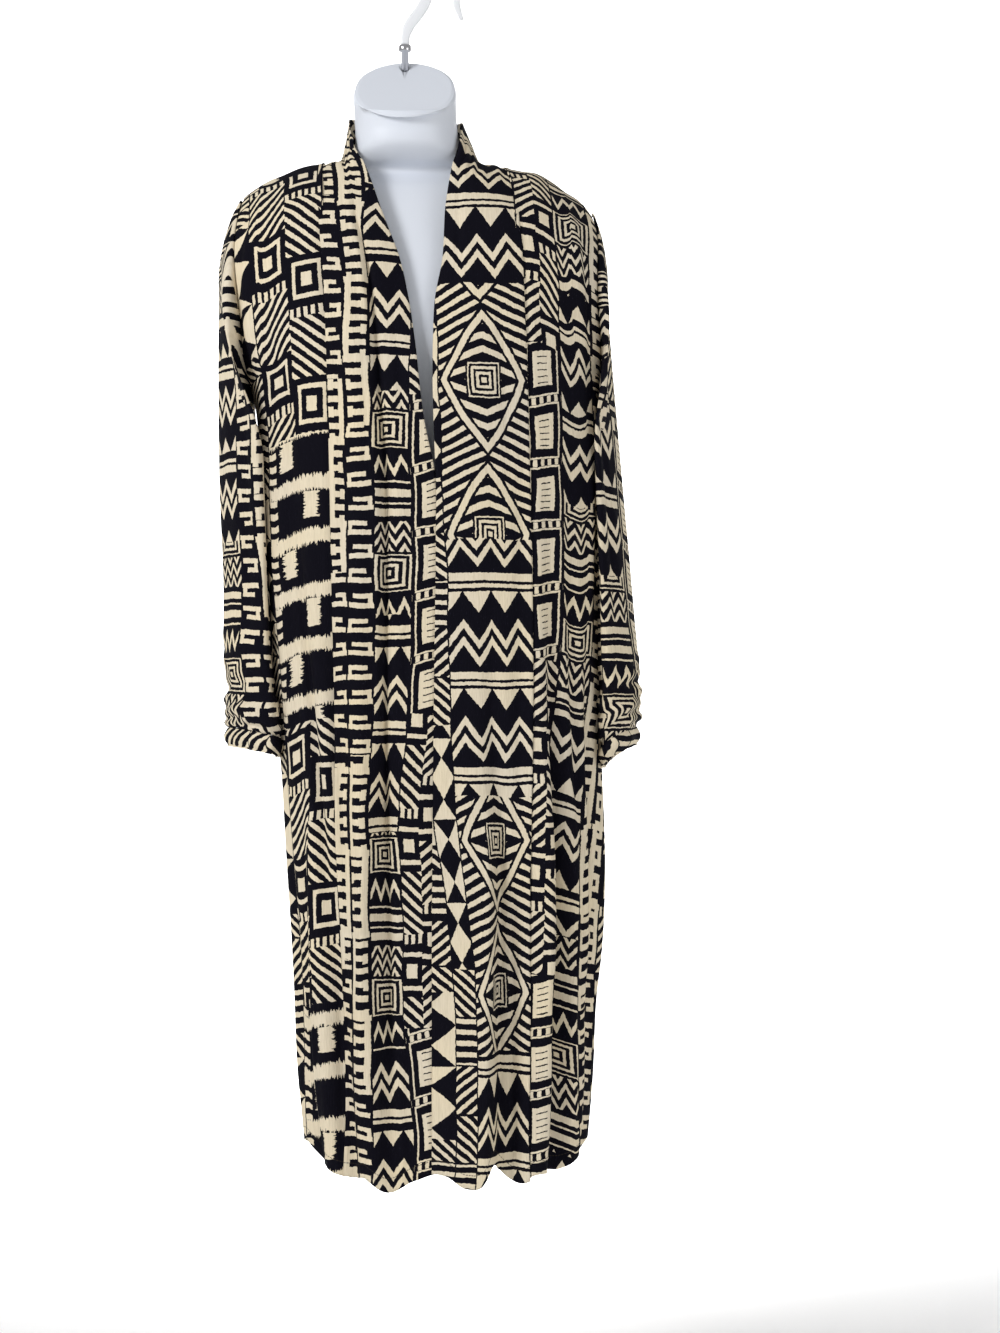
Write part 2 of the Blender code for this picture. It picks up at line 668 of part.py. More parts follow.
cloth("back", back_panel(34, 26), CREPE_BACK)
cloth("front_left", front_panel(-1, 15, 27), CREPE_LEFT)
cloth("front_right", front_panel(1, 15, 27), CREPE_RIGHT)
cloth("band_left", band(-1, 9, 26, 16), CREPE_BAND_LEFT)
cloth("band_right", band(1, 9, 26, 16), CREPE_BAND_RIGHT)
cloth("sleeve_left", sleeve(-1, 24, 22), CREPE_SLEEVE_LEFT, around=True)
cloth("sleeve_right", sleeve(1, 24, 22), CREPE_SLEEVE_RIGHT, around=True)
cloth("cuff_left", cuff(-1, 28, 6), CREPE_CUFF_LEFT, around=True)
cloth("cuff_right", cuff(1, 28, 6), CREPE_CUFF_RIGHT, around=True)
torso_form(FORM_PLASTIC)
swivel(CHROME)
hook(HOOK_PLASTIC)
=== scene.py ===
import bpy
import numpy as np
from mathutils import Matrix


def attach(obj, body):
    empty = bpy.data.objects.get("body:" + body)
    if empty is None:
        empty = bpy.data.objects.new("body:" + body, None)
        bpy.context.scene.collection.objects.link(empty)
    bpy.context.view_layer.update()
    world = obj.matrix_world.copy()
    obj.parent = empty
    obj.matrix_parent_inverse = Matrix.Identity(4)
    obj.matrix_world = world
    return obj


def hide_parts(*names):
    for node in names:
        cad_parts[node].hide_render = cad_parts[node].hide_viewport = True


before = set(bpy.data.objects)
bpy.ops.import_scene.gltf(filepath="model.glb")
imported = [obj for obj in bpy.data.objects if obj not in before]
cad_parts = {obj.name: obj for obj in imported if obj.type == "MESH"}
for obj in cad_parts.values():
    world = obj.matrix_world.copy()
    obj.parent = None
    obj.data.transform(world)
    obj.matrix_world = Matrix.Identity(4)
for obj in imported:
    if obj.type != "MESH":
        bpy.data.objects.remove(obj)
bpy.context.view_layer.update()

MM = 0.001
MM_PER_METRE = 1000
LEVEL = np.array([1, 1, 0])
CLOTH = 1.2 * MM
# seams: their gaps, and how far a piece runs on over or behind its neighbour
SEAM_GAP = 0.45 * MM
RIDGE_GAP = 0.35 * MM
SEAM_LAP = 5 * MM
SEAM_TUCK = 1.8 * MM
TUCK_ROOM = 1.5 * MM
TUCK_START = 1.25
TUCK_SHARE = 0.25
EDGE_LAP = 7 * MM
EDGE_TUCK = 2.4 * MM
EDGE_LAP_TOP = -520 * MM
EDGE_LAP_RISE = 90 * MM
EDGE_LAP_FROM = 0.7
EDGE_LAP_ACROSS = 0.3
# the sleeves' front halves lean in towards the body, the left one by more
SLEEVE_LEAN = {-1: 0.40, 1: 0.26}
LEAN_START = 0.12
LEAN_RUN = 0.24
# gathers of the collar at the neck's sides
GATHER = 1.5 * MM
GATHERS = 5.5
GATHER_AT = {-1: 1.6, 1: 1.2}
GATHER_REACH = 1.1
GATHER_DRIFT = 0.35
GATHER_WAVER = 2.1
GATHER_RISE = 0.4
NECK_GAP = 1.3 * MM
SLEEVE_GAP = {-1: 2.7 * MM, 1: 3.0 * MM}
ROW_CROWDING = 0.85
CROWDING_POWER = 6
ROUND = 2.4
SHOULDER_ROLL = 85 * MM
RIDGE_Y = 6 * MM
UNDERARM_Z = -487 * MM
SHOULDER_Z = -250 * MM
HEM_Z = -1330 * MM
RIDGE_REACH = 0.1
SETTLING = 8
SEED = 11
# small puckers: ripples added up, the range of their sizes and heights, their slant and their gain
RIPPLES = 14
RIPPLE_SIZES = (0.7, 1.8)
RIPPLE_LIFTS = (0.3, 1.0)
RIPPLE_SLANT = 0.35
RIPPLE_GAIN = 2.2
PUCKER_SIZE = 22 * MM
PUCKER_HEIGHT = 0.5 * MM
PUCKER_ROWS = 12

# trunk outline, in mm: height, left and right silhouette, front and back depth
TRUNK = (
    ("z", "left", "right", "front", "back"),
    (-215, -232, 166, 98, 92),
    (-263, -234, 170, 100, 96),
    (-308, -243, 182, 106, 101),
    (-353, -245, 183, 111, 104),
    (-420, -236, 181, 118, 106),
    (-487, -212, 174, 122, 105),
    (-561, -205, 173.6, 121, 102),
    (-711, -198, 173.6, 116, 100),
    (-823, -188, 173.6, 113, 101),
    (-890, -182, 174.7, 112, 102),
    (-1002, -174, 177, 110, 104),
    (-1092, -167, 174, 109, 107),
    (-1159, -163, 168, 109, 109),
    (-1226, -159, 166, 110, 110),
    (-1294, -152, 161, 111, 111),
    (-1350, -146, 155, 112, 112),
)

# shoulder line seen from the front, in mm
SHOULDER = (
    ("x", "z"),
    (-252, -306),
    (-244, -286),
    (-226, -263),
    (-213, -253),
    (-199, -245),
    (-179, -237),
    (-159, -229),
    (-139, -225),
    (-112, -216),
    (-34, -206),
    (32, -218),
    (63, -228),
    (83, -233),
    (103, -236),
    (130, -253),
    (157, -273),
    (170, -293),
    (181, -314),
)

# armhole, in degrees round from the front centre and from the back centre
ARMHOLE = (
    ("z", "front", "back"),
    (-225, 74, 74),
    (-263, 70, 71),
    (-308, 67, 68),
    (-353, 66, 67),
    (-420, 69, 71),
    (-460, 76, 74.2),
    (-480, 85, 86),
    (-487, 90, 90),
)

# band seams and free edges on the front, in mm
BAND_LINES = (
    ("z", "left_seam", "left_free", "right_free", "right_seam"),
    (-228, -139, -92, 16, 70),
    (-252, -137, -83, 9, 77),
    (-278, -135, -72, 3, 81),
    (-300, -134, -64, 2, 82),
    (-345, -130, -47, 0, 86),
    (-390, -127, -37, -8, 88),
    (-434, -125, -30, -10, 90),
    (-500, -123, -22.5, -10, 92),
    (-545, -122, -16, -8.5, 93),
    (-585, -121, -12, -7, 94),
    (-655, -120, -11, -7, 95),
    (-800, -117, -13, -9, 95),
    (-1000, -113, -15, -11, 93),
    (-1350, -107, -16, -11.5, 90),
)

# hem height across the front and the back, in mm
HEM_FRONT = (
    ("x", "z"),
    (-150, -1309),
    (-138, -1320),
    (-118, -1334),
    (-98, -1339),
    (-74, -1337),
    (-60, -1350),
    (-36, -1340),
    (-13, -1330),
    (4, -1332),
    (26, -1345),
    (42, -1340),
    (52, -1321),
    (64, -1328),
    (82, -1342),
    (100, -1332),
    (126, -1331),
    (144, -1322),
    (158, -1309),
)
HEM_BACK = (
    ("x", "z"),
    (-150, -1309),
    (-110, -1331),
    (-60, -1336),
    (-25, -1329),
    (20, -1337),
    (70, -1330),
    (110, -1333),
    (158, -1309),
)

# soft folds: degrees round from the front centre at the hem, sideways drift going up,
# where each starts, its spread in degrees and how far it stands out in mm
FOLDS = (
    ("at", "drift", "start", "spread", "out"),
    (-78, 4, -700, 9, 7),
    (-62, 6, -540, 8, -8),
    (-49, 7, -480, 8, 9),
    (-38, 6, -620, 6, -10),
    (-27, 4, -560, 8, 11),
    (-13, 2, -760, 6, -6),
    (10, -2, -700, 8, 9),
    (21, -4, -800, 5, -12),
    (34, -5, -500, 8, 11),
    (45, -5, -640, 5, -9),
    (57, -6, -520, 8, 8),
    (73, -3, -740, 7, -7),
    (98, 0, -560, 8, -7),
    (112, 3, -420, 9, 9),
    (130, 4, -520, 8, -9),
    (147, 4, -420, 9, 10),
    (164, 2, -600, 8, -8),
    (180, 0, -400, 10, 9),
    (-163, -2, -560, 8, -9),
    (-146, -4, -440, 9, 9),
    (-128, -4, -560, 8, -9),
    (-111, -3, -460, 9, 8),
    (-96, 0, -620, 7, -7),
)

# soft creases that fade at both ends: degrees round, z and reach up and down in mm, spread in
# degrees, how far they stand out in mm, and sideways lean in degrees
CREASES = (
    ("at", "z", "reach", "spread", "out", "lean"),
    (-66, -400, 90, 4.0, -4.0, 6),
    (-58, -390, 110, 4.0, 3.4, 6),
    (-70, -560, 150, 4.5, 3.4, -3),
    (-52, -620, 190, 3.6, -4.4, 3),
    (-60, -830, 200, 4.5, 4.2, 2),
    (-45, -900, 260, 3.2, -9.4, -2),
    (-37, -900, 260, 3.6, 6.8, -2),
    (-24, -1060, 260, 3.4, 8.2, 1),
    (-18, -1080, 260, 2.8, -11.4, 1),
    (-74, -1090, 190, 4.5, -8.0, 0),
    (-56, -1170, 170, 3.2, 7.6, 2),
    (10, -1130, 220, 3.4, 6.2, 0),
    (17, -1110, 260, 2.8, -11.6, -1),
    (26, -780, 230, 3.0, -3.8, 2),
    (34, -1040, 270, 3.4, 8.6, -1),
    (41, -1030, 290, 2.8, -11.8, -1),
    (53, -860, 260, 3.4, -8.4, -3),
    (61, -410, 110, 4.0, -3.6, -6),
    (54, -370, 110, 4.0, 3.2, -6),
    (66, -620, 170, 4.0, 4.0, 4),
    (64, -1000, 240, 3.6, -9.2, -2),
    (50, -1190, 160, 3.0, 7.6, -2),
    (78, -1080, 180, 4.5, 4.4, 0),
    (104, -700, 220, 5.0, 4.6, 3),
    (120, -480, 130, 5.0, -4.4, 6),
    (126, -930, 260, 4.0, 5.0, 2),
    (139, -640, 240, 4.0, -4.8, 3),
    (155, -860, 280, 4.0, 5.0, -2),
    (171, -520, 180, 4.0, -4.2, 2),
    (172, -1070, 240, 3.6, 5.0, 0),
    (-171, -780, 260, 3.8, -5.0, 0),
    (-155, -560, 200, 4.5, 4.4, -3),
    (-154, -1060, 240, 3.6, -5.0, 0),
    (-137, -760, 260, 4.0, 5.0, -2),
    (-120, -480, 130, 5.0, -4.4, -6),
    (-118, -980, 240, 4.5, 4.8, 0),
    (-103, -700, 220, 5.0, -4.6, -3),
)

# creases along the bands: which hand, place across, spread, how far they stand out in mm,
# lowest and highest z in mm, and drift across
BAND_CREASES = (
    ("hand", "at", "spread", "out", "low", "high", "drift"),
    (-1, 0.43, 0.045, 4.5, -1010, -250, 0.05),
    (-1, 0.53, 0.035, -6.0, -1030, -250, 0.05),
    (-1, 0.16, 0.05, -2.6, -760, -360, -0.04),
    (-1, 0.74, 0.05, -2.4, -900, -380, 0.06),
    (-1, 0.72, 0.08, 3.4, -1420, -930, -0.20),
    (-1, 0.30, 0.06, -4.4, -1420, -980, 0.10),
    (1, 0.80, 0.05, -2.4, -420, -190, 0.02),
    (1, 0.20, 0.06, -2.2, -640, -330, 0.10),
    (1, 0.62, 0.07, -3.4, -1420, -860, -0.12),
    (1, 0.46, 0.06, 3.6, -1420, -900, -0.08),
    (1, 0.10, 0.05, -5.4, -1420, -960, 0.04),
)

# collar guides from the chest round to the centre back, in mm: x, y and z of the seam, of the
# crease and of the free edge
COLLAR_RIGHT = (
    (77, 0, -256, 39, -76, -251, 9, -72, -241),
    (71, 0, -234, 38, -46, -235, 15, -52, -216),
    (69, 14, -230, 38, -8, -224, 18.5, -24, -190),
    (66, 40, -235, 36, 22, -221, 18, 6, -176),
    (46, 66, -243, 22, 47, -222, 5, 33, -174),
    (10, 78, -249, -4, 60, -225, -14, 44, -176),
    (-38, 82, -251, -38, 65, -226, -38, 49, -178),
)
COLLAR_LEFT = (
    (-137, 0, -256, -107, -74, -253, -84, -70, -240),
    (-138, 0, -233, -110, -46, -232, -98, -50, -214),
    (-136, 14, -228, -114, -8, -220, -104.5, -24, -187),
    (-132, 40, -233, -111, 22, -218, -104, 6, -172),
    (-112, 66, -243, -94, 47, -222, -86, 33, -172),
    (-80, 78, -249, -70, 60, -225, -64, 44, -175),
    (-39.5, 82, -251, -39.5, 65, -226, -39.5, 49, -178),
)

# sleeve rings, in mm: outer point, inner point, reach to the front and to the back
SLEEVE_COLUMNS = ("t", "outer_x", "outer_z", "inner_x", "inner_z", "front", "back")
SLEEVE_RIGHT = (
    (0.00, 165, -282, 174, -488, 70, 74),
    (0.08, 178, -312, 178, -502, 72, 76),
    (0.20, 182, -385, 180, -532, 72, 78),
    (0.34, 189, -478, 180, -582, 70, 80),
    (0.50, 199, -592, 180, -650, 66, 80),
    (0.66, 208, -692, 180, -722, 64, 78),
    (0.80, 215, -778, 178.2, -790, 66, 76),
    (0.90, 218, -820, 179.0, -838, 68, 74),
    (0.96, 217.5, -842, 179.4, -864, 66, 72),
    (1.00, 214, -853, 181, -878, 60, 64),
)
SLEEVE_LEFT = (
    (0.00, -236, -274, -212.5, -488, 70, 74),
    (0.08, -249, -306, -216, -502, 72, 76),
    (0.20, -252.5, -385, -215, -535, 74, 78),
    (0.34, -253, -478, -212, -585, 72, 80),
    (0.50, -252, -590, -208, -648, 68, 80),
    (0.66, -248, -680, -205, -716, 64, 78),
    (0.80, -246, -765, -201.5, -786, 66, 76),
    (0.90, -243.5, -820, -196.2, -834, 68, 74),
    (0.96, -246, -843, -191, -855, 66, 72),
    (1.00, -243, -853, -191, -865, 60, 64),
)
# sleeve creases: place along and round, reach along and round, how far they stand out in mm;
# the places and reaches round are in degrees
SLEEVE_CREASES = (
    (0.18, 40, 0.16, 16, -3.2),
    (0.30, 85, 0.20, 14, 4),
    (0.34, 130, 0.18, 15, -5),
    (0.55, 60, 0.26, 12, -5),
    (0.58, 122, 0.20, 9, -6.5),
    (0.52, 142, 0.22, 8, 4.5),
    (0.58, 105, 0.22, 16, 5),
    (0.40, 230, 0.26, 18, 5),
    (0.60, 270, 0.22, 15, -5),
    (0.50, 315, 0.24, 15, 4),
    (0.80, 35, 0.05, 34, 4),
    (0.84, 120, 0.05, 36, -3),
    (0.87, 70, 0.04, 40, -5),
    (0.90, 165, 0.05, 40, 4),
    (0.92, 40, 0.04, 30, 5),
    (0.84, 235, 0.05, 36, -4),
    (0.90, 290, 0.05, 40, 4),
)
# crumpling above the cuff: where it starts and its run, then where it weakens and over what run
SCRUNCH_START = (0.72, 0.2)
SCRUNCH_END = (0.97, 0.03)
# its fine and broad ripples: height in mm, number along and sway round the sleeve, in radians
SCRUNCH_FINE = (1.3, 150, 2.2)
SCRUNCH_BROAD = (1.7, 83, 3.1)
NECK_CENTRE = -34.5 * MM
NECK_HALF = 104.5 * MM
NECK_SCOOP = 45 * MM
SCOOP_POWER = 0.75
CUFF_HEIGHT = 20.5 * MM
CUFF_ROLL = 3 * MM
CUFF_SWELL = 1.15
CUFF_DROP = {-1: 1.6 * MM, 1: 0.7 * MM}
CUFF_PLEAT = 1.1 * MM
CUFF_PLEATS = 11
CUFF_TWIST = 3
SLEEVE_TIP = {-1: -228 * MM, 1: 160 * MM}
SLEEVE_Y = 4 * MM
SLEEVE_BLEND = 0.16
SIDE_BLEND = 0.12
BAND_TOP = -281 * MM
COLLAR_BEND = 0.42
COLLAR_SOFT = 0.12
# lengthwise rolls of the bands: place across, spread, how far they stand out in mm, lowest and
# highest z in mm
ROLL_LEFT = ((0.30, 0.16, 8, -1330, -330), (0.52, 0.07, -5, -1250, -330))
ROLL_RIGHT = ((0.55, 0.3, 3, -1330, -330),)
ROLL_FADE = 120 * MM
EDGE_BACK = 10 * MM
EDGE_BACK_Z = -560 * MM
EDGE_BACK_RISE = 200 * MM
JOIN_ROWS = 12

# torso form rings, in mm: centre, half width, front and back depth
FORM = (
    ("z", "x", "y", "half", "front", "back"),
    (-932, -11, 0, 92, 56, 56),
    (-926, -11, 0, 116, 74, 72),
    (-908, -12, 0, 134, 84, 82),
    (-870, -14, 0, 146, 90, 86),
    (-800, -17, 0, 150, 92, 86),
    (-720, -20, 0, 140, 88, 78),
    (-630, -23, 0, 122, 82, 70),
    (-560, -26, 0, 128, 86, 72),
    (-500, -28, 0, 143, 96, 76),
    (-450, -30, 0, 154, 100, 80),
    (-400, -32, 0, 163, 96, 83),
    (-350, -33, 0, 174, 88, 84),
    (-310, -34, 0, 178, 79, 80),
    (-285, -35, 0, 176, 70, 70),
    (-268, -36, 1, 170, 62, 60),
    (-256, -37, 2, 162, 54, 52),
    (-247.5, -38, 2, 151, 45, 46),
    (-239.8, -38, 1, 134, 38, 42),
    (-233.8, -39, -4, 106, 35, 40),
    (-227.8, -40, -12, 76, 42, 42),
    (-214, -41, -18, 60, 53, 45),
    (-196, -42, -22, 57, 52, 47),
    (-182, -43, -26, 56.5, 51, 48),
)
CAP_CENTRE = (-43.5 * MM, -34 * MM, -147 * MM)
CAP_HALF = (56.5 * MM, 50 * MM)
CAP_SLOPE = 0.88
CAP_BEVEL = 5 * MM
CAP_HEIGHT = 26 * MM
CAP_SHIFT = 6 * MM
CAP_LIP = 0.8 * MM
CAP_LIP_RUN = 1.5
CAP_RINGS = 25
# the cap's rim: share of its height and slope, and of its bevel, at four knots going up
CAP_SHARE = (0.45, 0.8, 0.97, 1.0)
CAP_INSET = (0.0, 0.0, 0.3, 1.0)
# and the rings across its top, as shares of the rim
CAP_TOP = (0.97, 0.7, 0.35)
FORM_ROUND = 2.15
HOOK_SQUARE = 0.55

HOOK_FOOT = (-44.8 * MM, 0, -89.3 * MM)
# hook path, in mm: centre, half width across the strip, half depth
HOOK = (
    ("t", "x", "z", "across", "deep"),
    (0.00, -44.8, -89.0, 4.6, 3.2),
    (0.07, -44.4, -80.0, 5.2, 3.2),
    (0.16, -39.8, -68.0, 6.0, 3.2),
    (0.26, -30.5, -55.5, 6.3, 3.1),
    (0.36, -22.2, -42.0, 6.2, 3.1),
    (0.46, -17.6, -26.0, 6.0, 3.0),
    (0.56, -15.6, -10.0, 6.0, 3.0),
    (0.63, -10.0, 2.4, 6.0, 3.0),
    (0.69, 0.0, 6.0, 6.0, 3.0),
    (0.75, 9.8, 1.6, 5.6, 3.0),
    (0.82, 13.2, -13.0, 5.0, 3.0),
    (0.89, 12.2, -29.0, 4.6, 2.8),
    (0.95, 13.4, -46.0, 3.8, 2.5),
    (1.00, 19.0, -62.0, 2.2, 1.8),
)
# swivel profile, in mm: radius and height
SWIVEL = (
    (4.0, -120),
    (4.0, -98.2),
    (6.4, -97.4),
    (6.9, -96.4),
    (6.9, -91.4),
    (6.2, -90.2),
    (3.0, -89.6),
)
SOCKET_RADIUS = 4.6 * MM
SOCKET_FLOOR = -121 * MM
SOCKET_TOP = -80 * MM

# noise in the cloth: scale across and along, per mm, then detail and seed
NOISE = {
    "hair": (0.62, 0.03, 1.0, 3.1),
    "hair_side": (0.03, 0.62, 1.0, 7.7),
    "sway_u": (0.016, 0.016, 1.0, 1.3),
    "shake_u": (0.30, 0.30, 1.0, 2.9),
    "sway_v": (0.016, 0.016, 1.0, 5.1),
    "shake_v": (0.30, 0.30, 1.0, 6.3),
    "hem": (0.05, 0.05, 1.0, 2.2),
    "crinkle": (0.85, 0.06, 3.0, 4.4),
    "tint": (0.008, 0.008, 1.0, 8.8),
    "weave": (2.2, 2.2, 1.0, 0.6),
}
STRIP_EDGE = 0.8
# the hem's stitch line, in mm: height above the hem, half its width, pitch and length of its stitches
HEM_STITCH = 15
STITCH_HALF = 0.5
STITCH_PITCH = 3.4
STITCH_LENGTH = 2.5
GROOVE_HALF = 1.4
CREPE_ROUGHNESS = 0.82
CREPE_SPECULAR = 0.06
BUMP_STRENGTH = 0.55
BUMP_DISTANCE = 0.0012
GLOSS_SCALE = 18.0


def follow(columns, rows, name, at):
    """A named column of a table read smoothly at positions in its first column."""
    table = np.array(rows, float)
    order = np.argsort(table[:, 0])
    place = table[order, 0]
    value = table[order, columns.index(name)]
    slope = np.gradient(value, place)
    at = np.clip(at, place[0], place[-1])
    i = np.clip(np.searchsorted(place, at) - 1, 0, len(place) - 2)
    span = place[i + 1] - place[i]
    t = (at - place[i]) / span
    start = (1 + 2 * t) * (1 - t) ** 2 * value[i] + t * (1 - t) ** 2 * span * slope[i]
    end = t * t * (3 - 2 * t) * value[i + 1] + t * t * (t - 1) * span * slope[i + 1]
    return start + end


def row(table, name, at):
    """The same for a table in mm whose first row names its columns; takes and gives metres."""
    return follow(table[0], table[1:], name, np.asarray(at) / MM) * MM


def signed_power(value, power):
    return np.sign(value) * np.abs(value) ** power


def ease(value):
    value = np.clip(value, 0, 1)
    return value * value * (3 - 2 * value)


def turned(degrees, at):
    """Difference of two angles, from -180 to 180."""
    return (degrees - at + 180) % 360 - 180


def small_waves(across, along, seed, size, height):
    """Low uneven ripples for the cloth's small puckers."""
    draw = np.random.default_rng(seed)
    total = np.zeros(np.broadcast(across, along).shape)
    for _ in range(RIPPLES):
        turn = draw.uniform(-0.5, 0.5)
        wave = size * draw.uniform(*RIPPLE_SIZES)
        phase = draw.uniform(0, 2 * np.pi)
        lift = draw.uniform(*RIPPLE_LIFTS)
        place = across + turn * along * RIPPLE_SLANT
        total = total + lift * np.sin(2 * np.pi * place / wave + phase)
    return total / RIPPLES * height * RIPPLE_GAIN


def trunk(angle, z):
    """Point of the coat's body at an angle round from the front centre and at a height."""
    left, right = row(TRUNK, "left", z), row(TRUNK, "right", z)
    centre, half = (left + right) / 2, (right - left) / 2
    facing = np.cos(angle)
    depth = np.where(facing >= 0, row(TRUNK, "front", z), row(TRUNK, "back", z))
    x = centre + half * signed_power(np.sin(angle), 2 / ROUND)
    drop = row(SHOULDER, "z", x) - z
    full = np.sqrt(1 - (1 - np.clip(drop / SHOULDER_ROLL, 0, 1)) ** 2)
    y = RIDGE_Y * (1 - full) - depth * signed_power(facing, 2 / ROUND) * full
    turn = np.degrees(angle)
    stand = np.zeros_like(x)
    for at, drift, start, spread, out in FOLDS[1:]:
        grown = ease((start * MM - z) / (start * MM - HEM_Z))
        away = turned(turn, at + drift * (1 - grown))
        stand = stand + out * MM * grown * np.exp(-((away / spread) ** 2))
    for at, height, reach, spread, out, lean in CREASES[1:]:
        along = (z - height * MM) / (reach * MM)
        away = turned(turn, at + lean * along)
        stand = stand + out * MM * np.exp(-((away / spread) ** 2) - along ** 2)
    return np.stack([x + stand * np.sin(angle), y - stand * facing, z], axis=-1)


def angle_at(x, z):
    """Front angle whose point has this x."""
    left, right = row(TRUNK, "left", z), row(TRUNK, "right", z)
    share = np.clip((x - (left + right) / 2) / ((right - left) / 2), -1, 1)
    return np.arcsin(signed_power(share, ROUND / 2))


def armhole(z, face):
    """Angle of the armhole's edge, or of the side seam below it, from the front or back centre."""
    limit = np.radians(follow(ARMHOLE[0], ARMHOLE[1:], face, z / MM))
    return np.where(z < UNDERARM_Z, np.pi / 2, limit)


def crowded(rows):
    """Row places from the shoulder to the hem, closer together at the shoulder."""
    t = np.linspace(0, 1, rows)
    return t * (1 - ROW_CROWDING * (1 - t) ** CROWDING_POWER)


def front_panel(side, columns, rows):
    """Grid of a front panel from its band seam to its side seam and armhole."""
    s = np.linspace(0, 1, columns)[None, :]
    t = crowded(rows)[:, None]
    t = t + 0 * s
    s = s + 0 * t
    seam = "right_seam" if side > 0 else "left_seam"

    def angles(z):
        start = angle_at(row(BAND_LINES, seam, z) - side * SEAM_LAP, z)
        return start + (side * armhole(z, "front") - start) * s

    def at_line(line, z):
        for _ in range(SETTLING):
            z = row(line, "z", trunk(angles(z), z)[..., 0])
        return z

    top = at_line(SHOULDER, np.full_like(s, SHOULDER_Z))
    hem = at_line(HEM_FRONT, np.full_like(s, HEM_Z))
    z = top + (hem - top) * t
    points = trunk(angles(z), z)
    points[..., 1] -= SEAM_GAP / 2 + RIDGE_GAP * (1 - ease(t / RIDGE_REACH))
    under = np.abs(points[..., 0] - row(BAND_LINES, seam, z)) / (SEAM_LAP + TUCK_ROOM)
    points[..., 1] += SEAM_TUCK * ease(TUCK_START - under) * (s < TUCK_SHARE)
    return points


def back_neckline(x):
    """Back panel's top edge: the shoulder line, with a scoop that the band is sewn to."""
    share = np.clip(np.abs(x - NECK_CENTRE) / NECK_HALF, 0, 1)
    return row(SHOULDER, "z", x) - NECK_SCOOP * (1 - share ** 2) ** SCOOP_POWER


def back_panel(columns, rows):
    s = np.linspace(0, 1, columns)[None, :]
    t = crowded(rows)[:, None]
    t = t + 0 * s
    s = s + 0 * t

    def angles(z):
        reach = armhole(z, "back")
        return np.pi + reach - 2 * reach * s

    z = np.full_like(s, SHOULDER_Z)
    for _ in range(SETTLING):
        z = back_neckline(trunk(angles(z), z)[..., 0])
    top = z
    z = np.full_like(s, HEM_Z)
    for _ in range(SETTLING):
        z = row(HEM_BACK, "z", trunk(angles(z), z)[..., 0])
    z = top + (z - top) * t
    points = trunk(angles(z), z)
    points[..., 1] += SEAM_GAP / 2 + RIDGE_GAP * (1 - ease(t / RIDGE_REACH))
    return points


def band_front(side, across, rows):
    """Grid of a band's straight length, from the hem up to where the collar begins."""
    seam, free = ("right_seam", "right_free") if side > 0 else ("left_seam", "left_free")
    w = np.linspace(0, 1, across)[None, :]
    t = np.linspace(0, 1, rows)[:, None]
    w, t = w + 0 * t, t + 0 * w

    def place(z):
        return row(BAND_LINES, seam, z) * (1 - w) + row(BAND_LINES, free, z) * w

    foot = np.full_like(w, HEM_Z)
    for _ in range(SETTLING):
        foot = row(HEM_FRONT, "z", place(foot))
    z = foot + (BAND_TOP - foot) * t
    low_part = (side < 0) * ease((EDGE_LAP_TOP - z) / EDGE_LAP_RISE)
    lap = low_part * ease((w - EDGE_LAP_FROM) / EDGE_LAP_ACROSS)
    front = trunk(angle_at(place(z) + EDGE_LAP * lap, z), z)
    front[..., 1] += EDGE_TUCK * lap

    def reach(low, high):
        return ease((z - low * MM) / ROLL_FADE) * ease((high * MM - z) / ROLL_FADE)

    for at, spread, out, low, high in ROLL_LEFT if side < 0 else ROLL_RIGHT:
        front[..., 1] -= out * MM * reach(low, high) * np.exp(-(((w - at) / spread) ** 2))
    for hand, at, spread, out, low, high, drift in BAND_CREASES[1:]:
        if hand == side:
            away = w - at - drift * (z - low * MM) / ((high - low) * MM)
            front[..., 1] -= out * MM * reach(low, high) * np.exp(-((away / spread) ** 2))
    front[..., 1] -= SEAM_GAP / 2
    open_part = ease((z - EDGE_BACK_Z) / EDGE_BACK_RISE)
    front[..., 1] += open_part * EDGE_BACK * w ** 3
    return front


def collar_lines(side, rows):
    """The rows' places on the collar, and its seam, crease and free edge at each."""
    guides = np.array(COLLAR_RIGHT if side > 0 else COLLAR_LEFT, float) * MM
    for line in guides[:2]:
        line[1] = trunk(angle_at(line[0], line[2]), line[2])[1] - SEAM_GAP / 2
    for line in guides[3:]:
        height = back_neckline(line[0])
        line[:3] = trunk(np.pi - angle_at(line[0], height), height) + [0, SEAM_GAP / 2, NECK_GAP]
    u = np.linspace(0, len(guides) - 1, rows)
    slope = np.gradient(guides, axis=0)
    i = np.clip(u.astype(int), 0, len(guides) - 2)
    f = (u - i)[:, None]
    smooth = (1 + 2 * f) * (1 - f) ** 2 * guides[i] + f * (1 - f) ** 2 * slope[i]
    smooth = smooth + f * f * (3 - 2 * f) * guides[i + 1] + f * f * (f - 1) * slope[i + 1]
    return u, [smooth[:, None, 3 * n : 3 * n + 3] for n in range(3)]


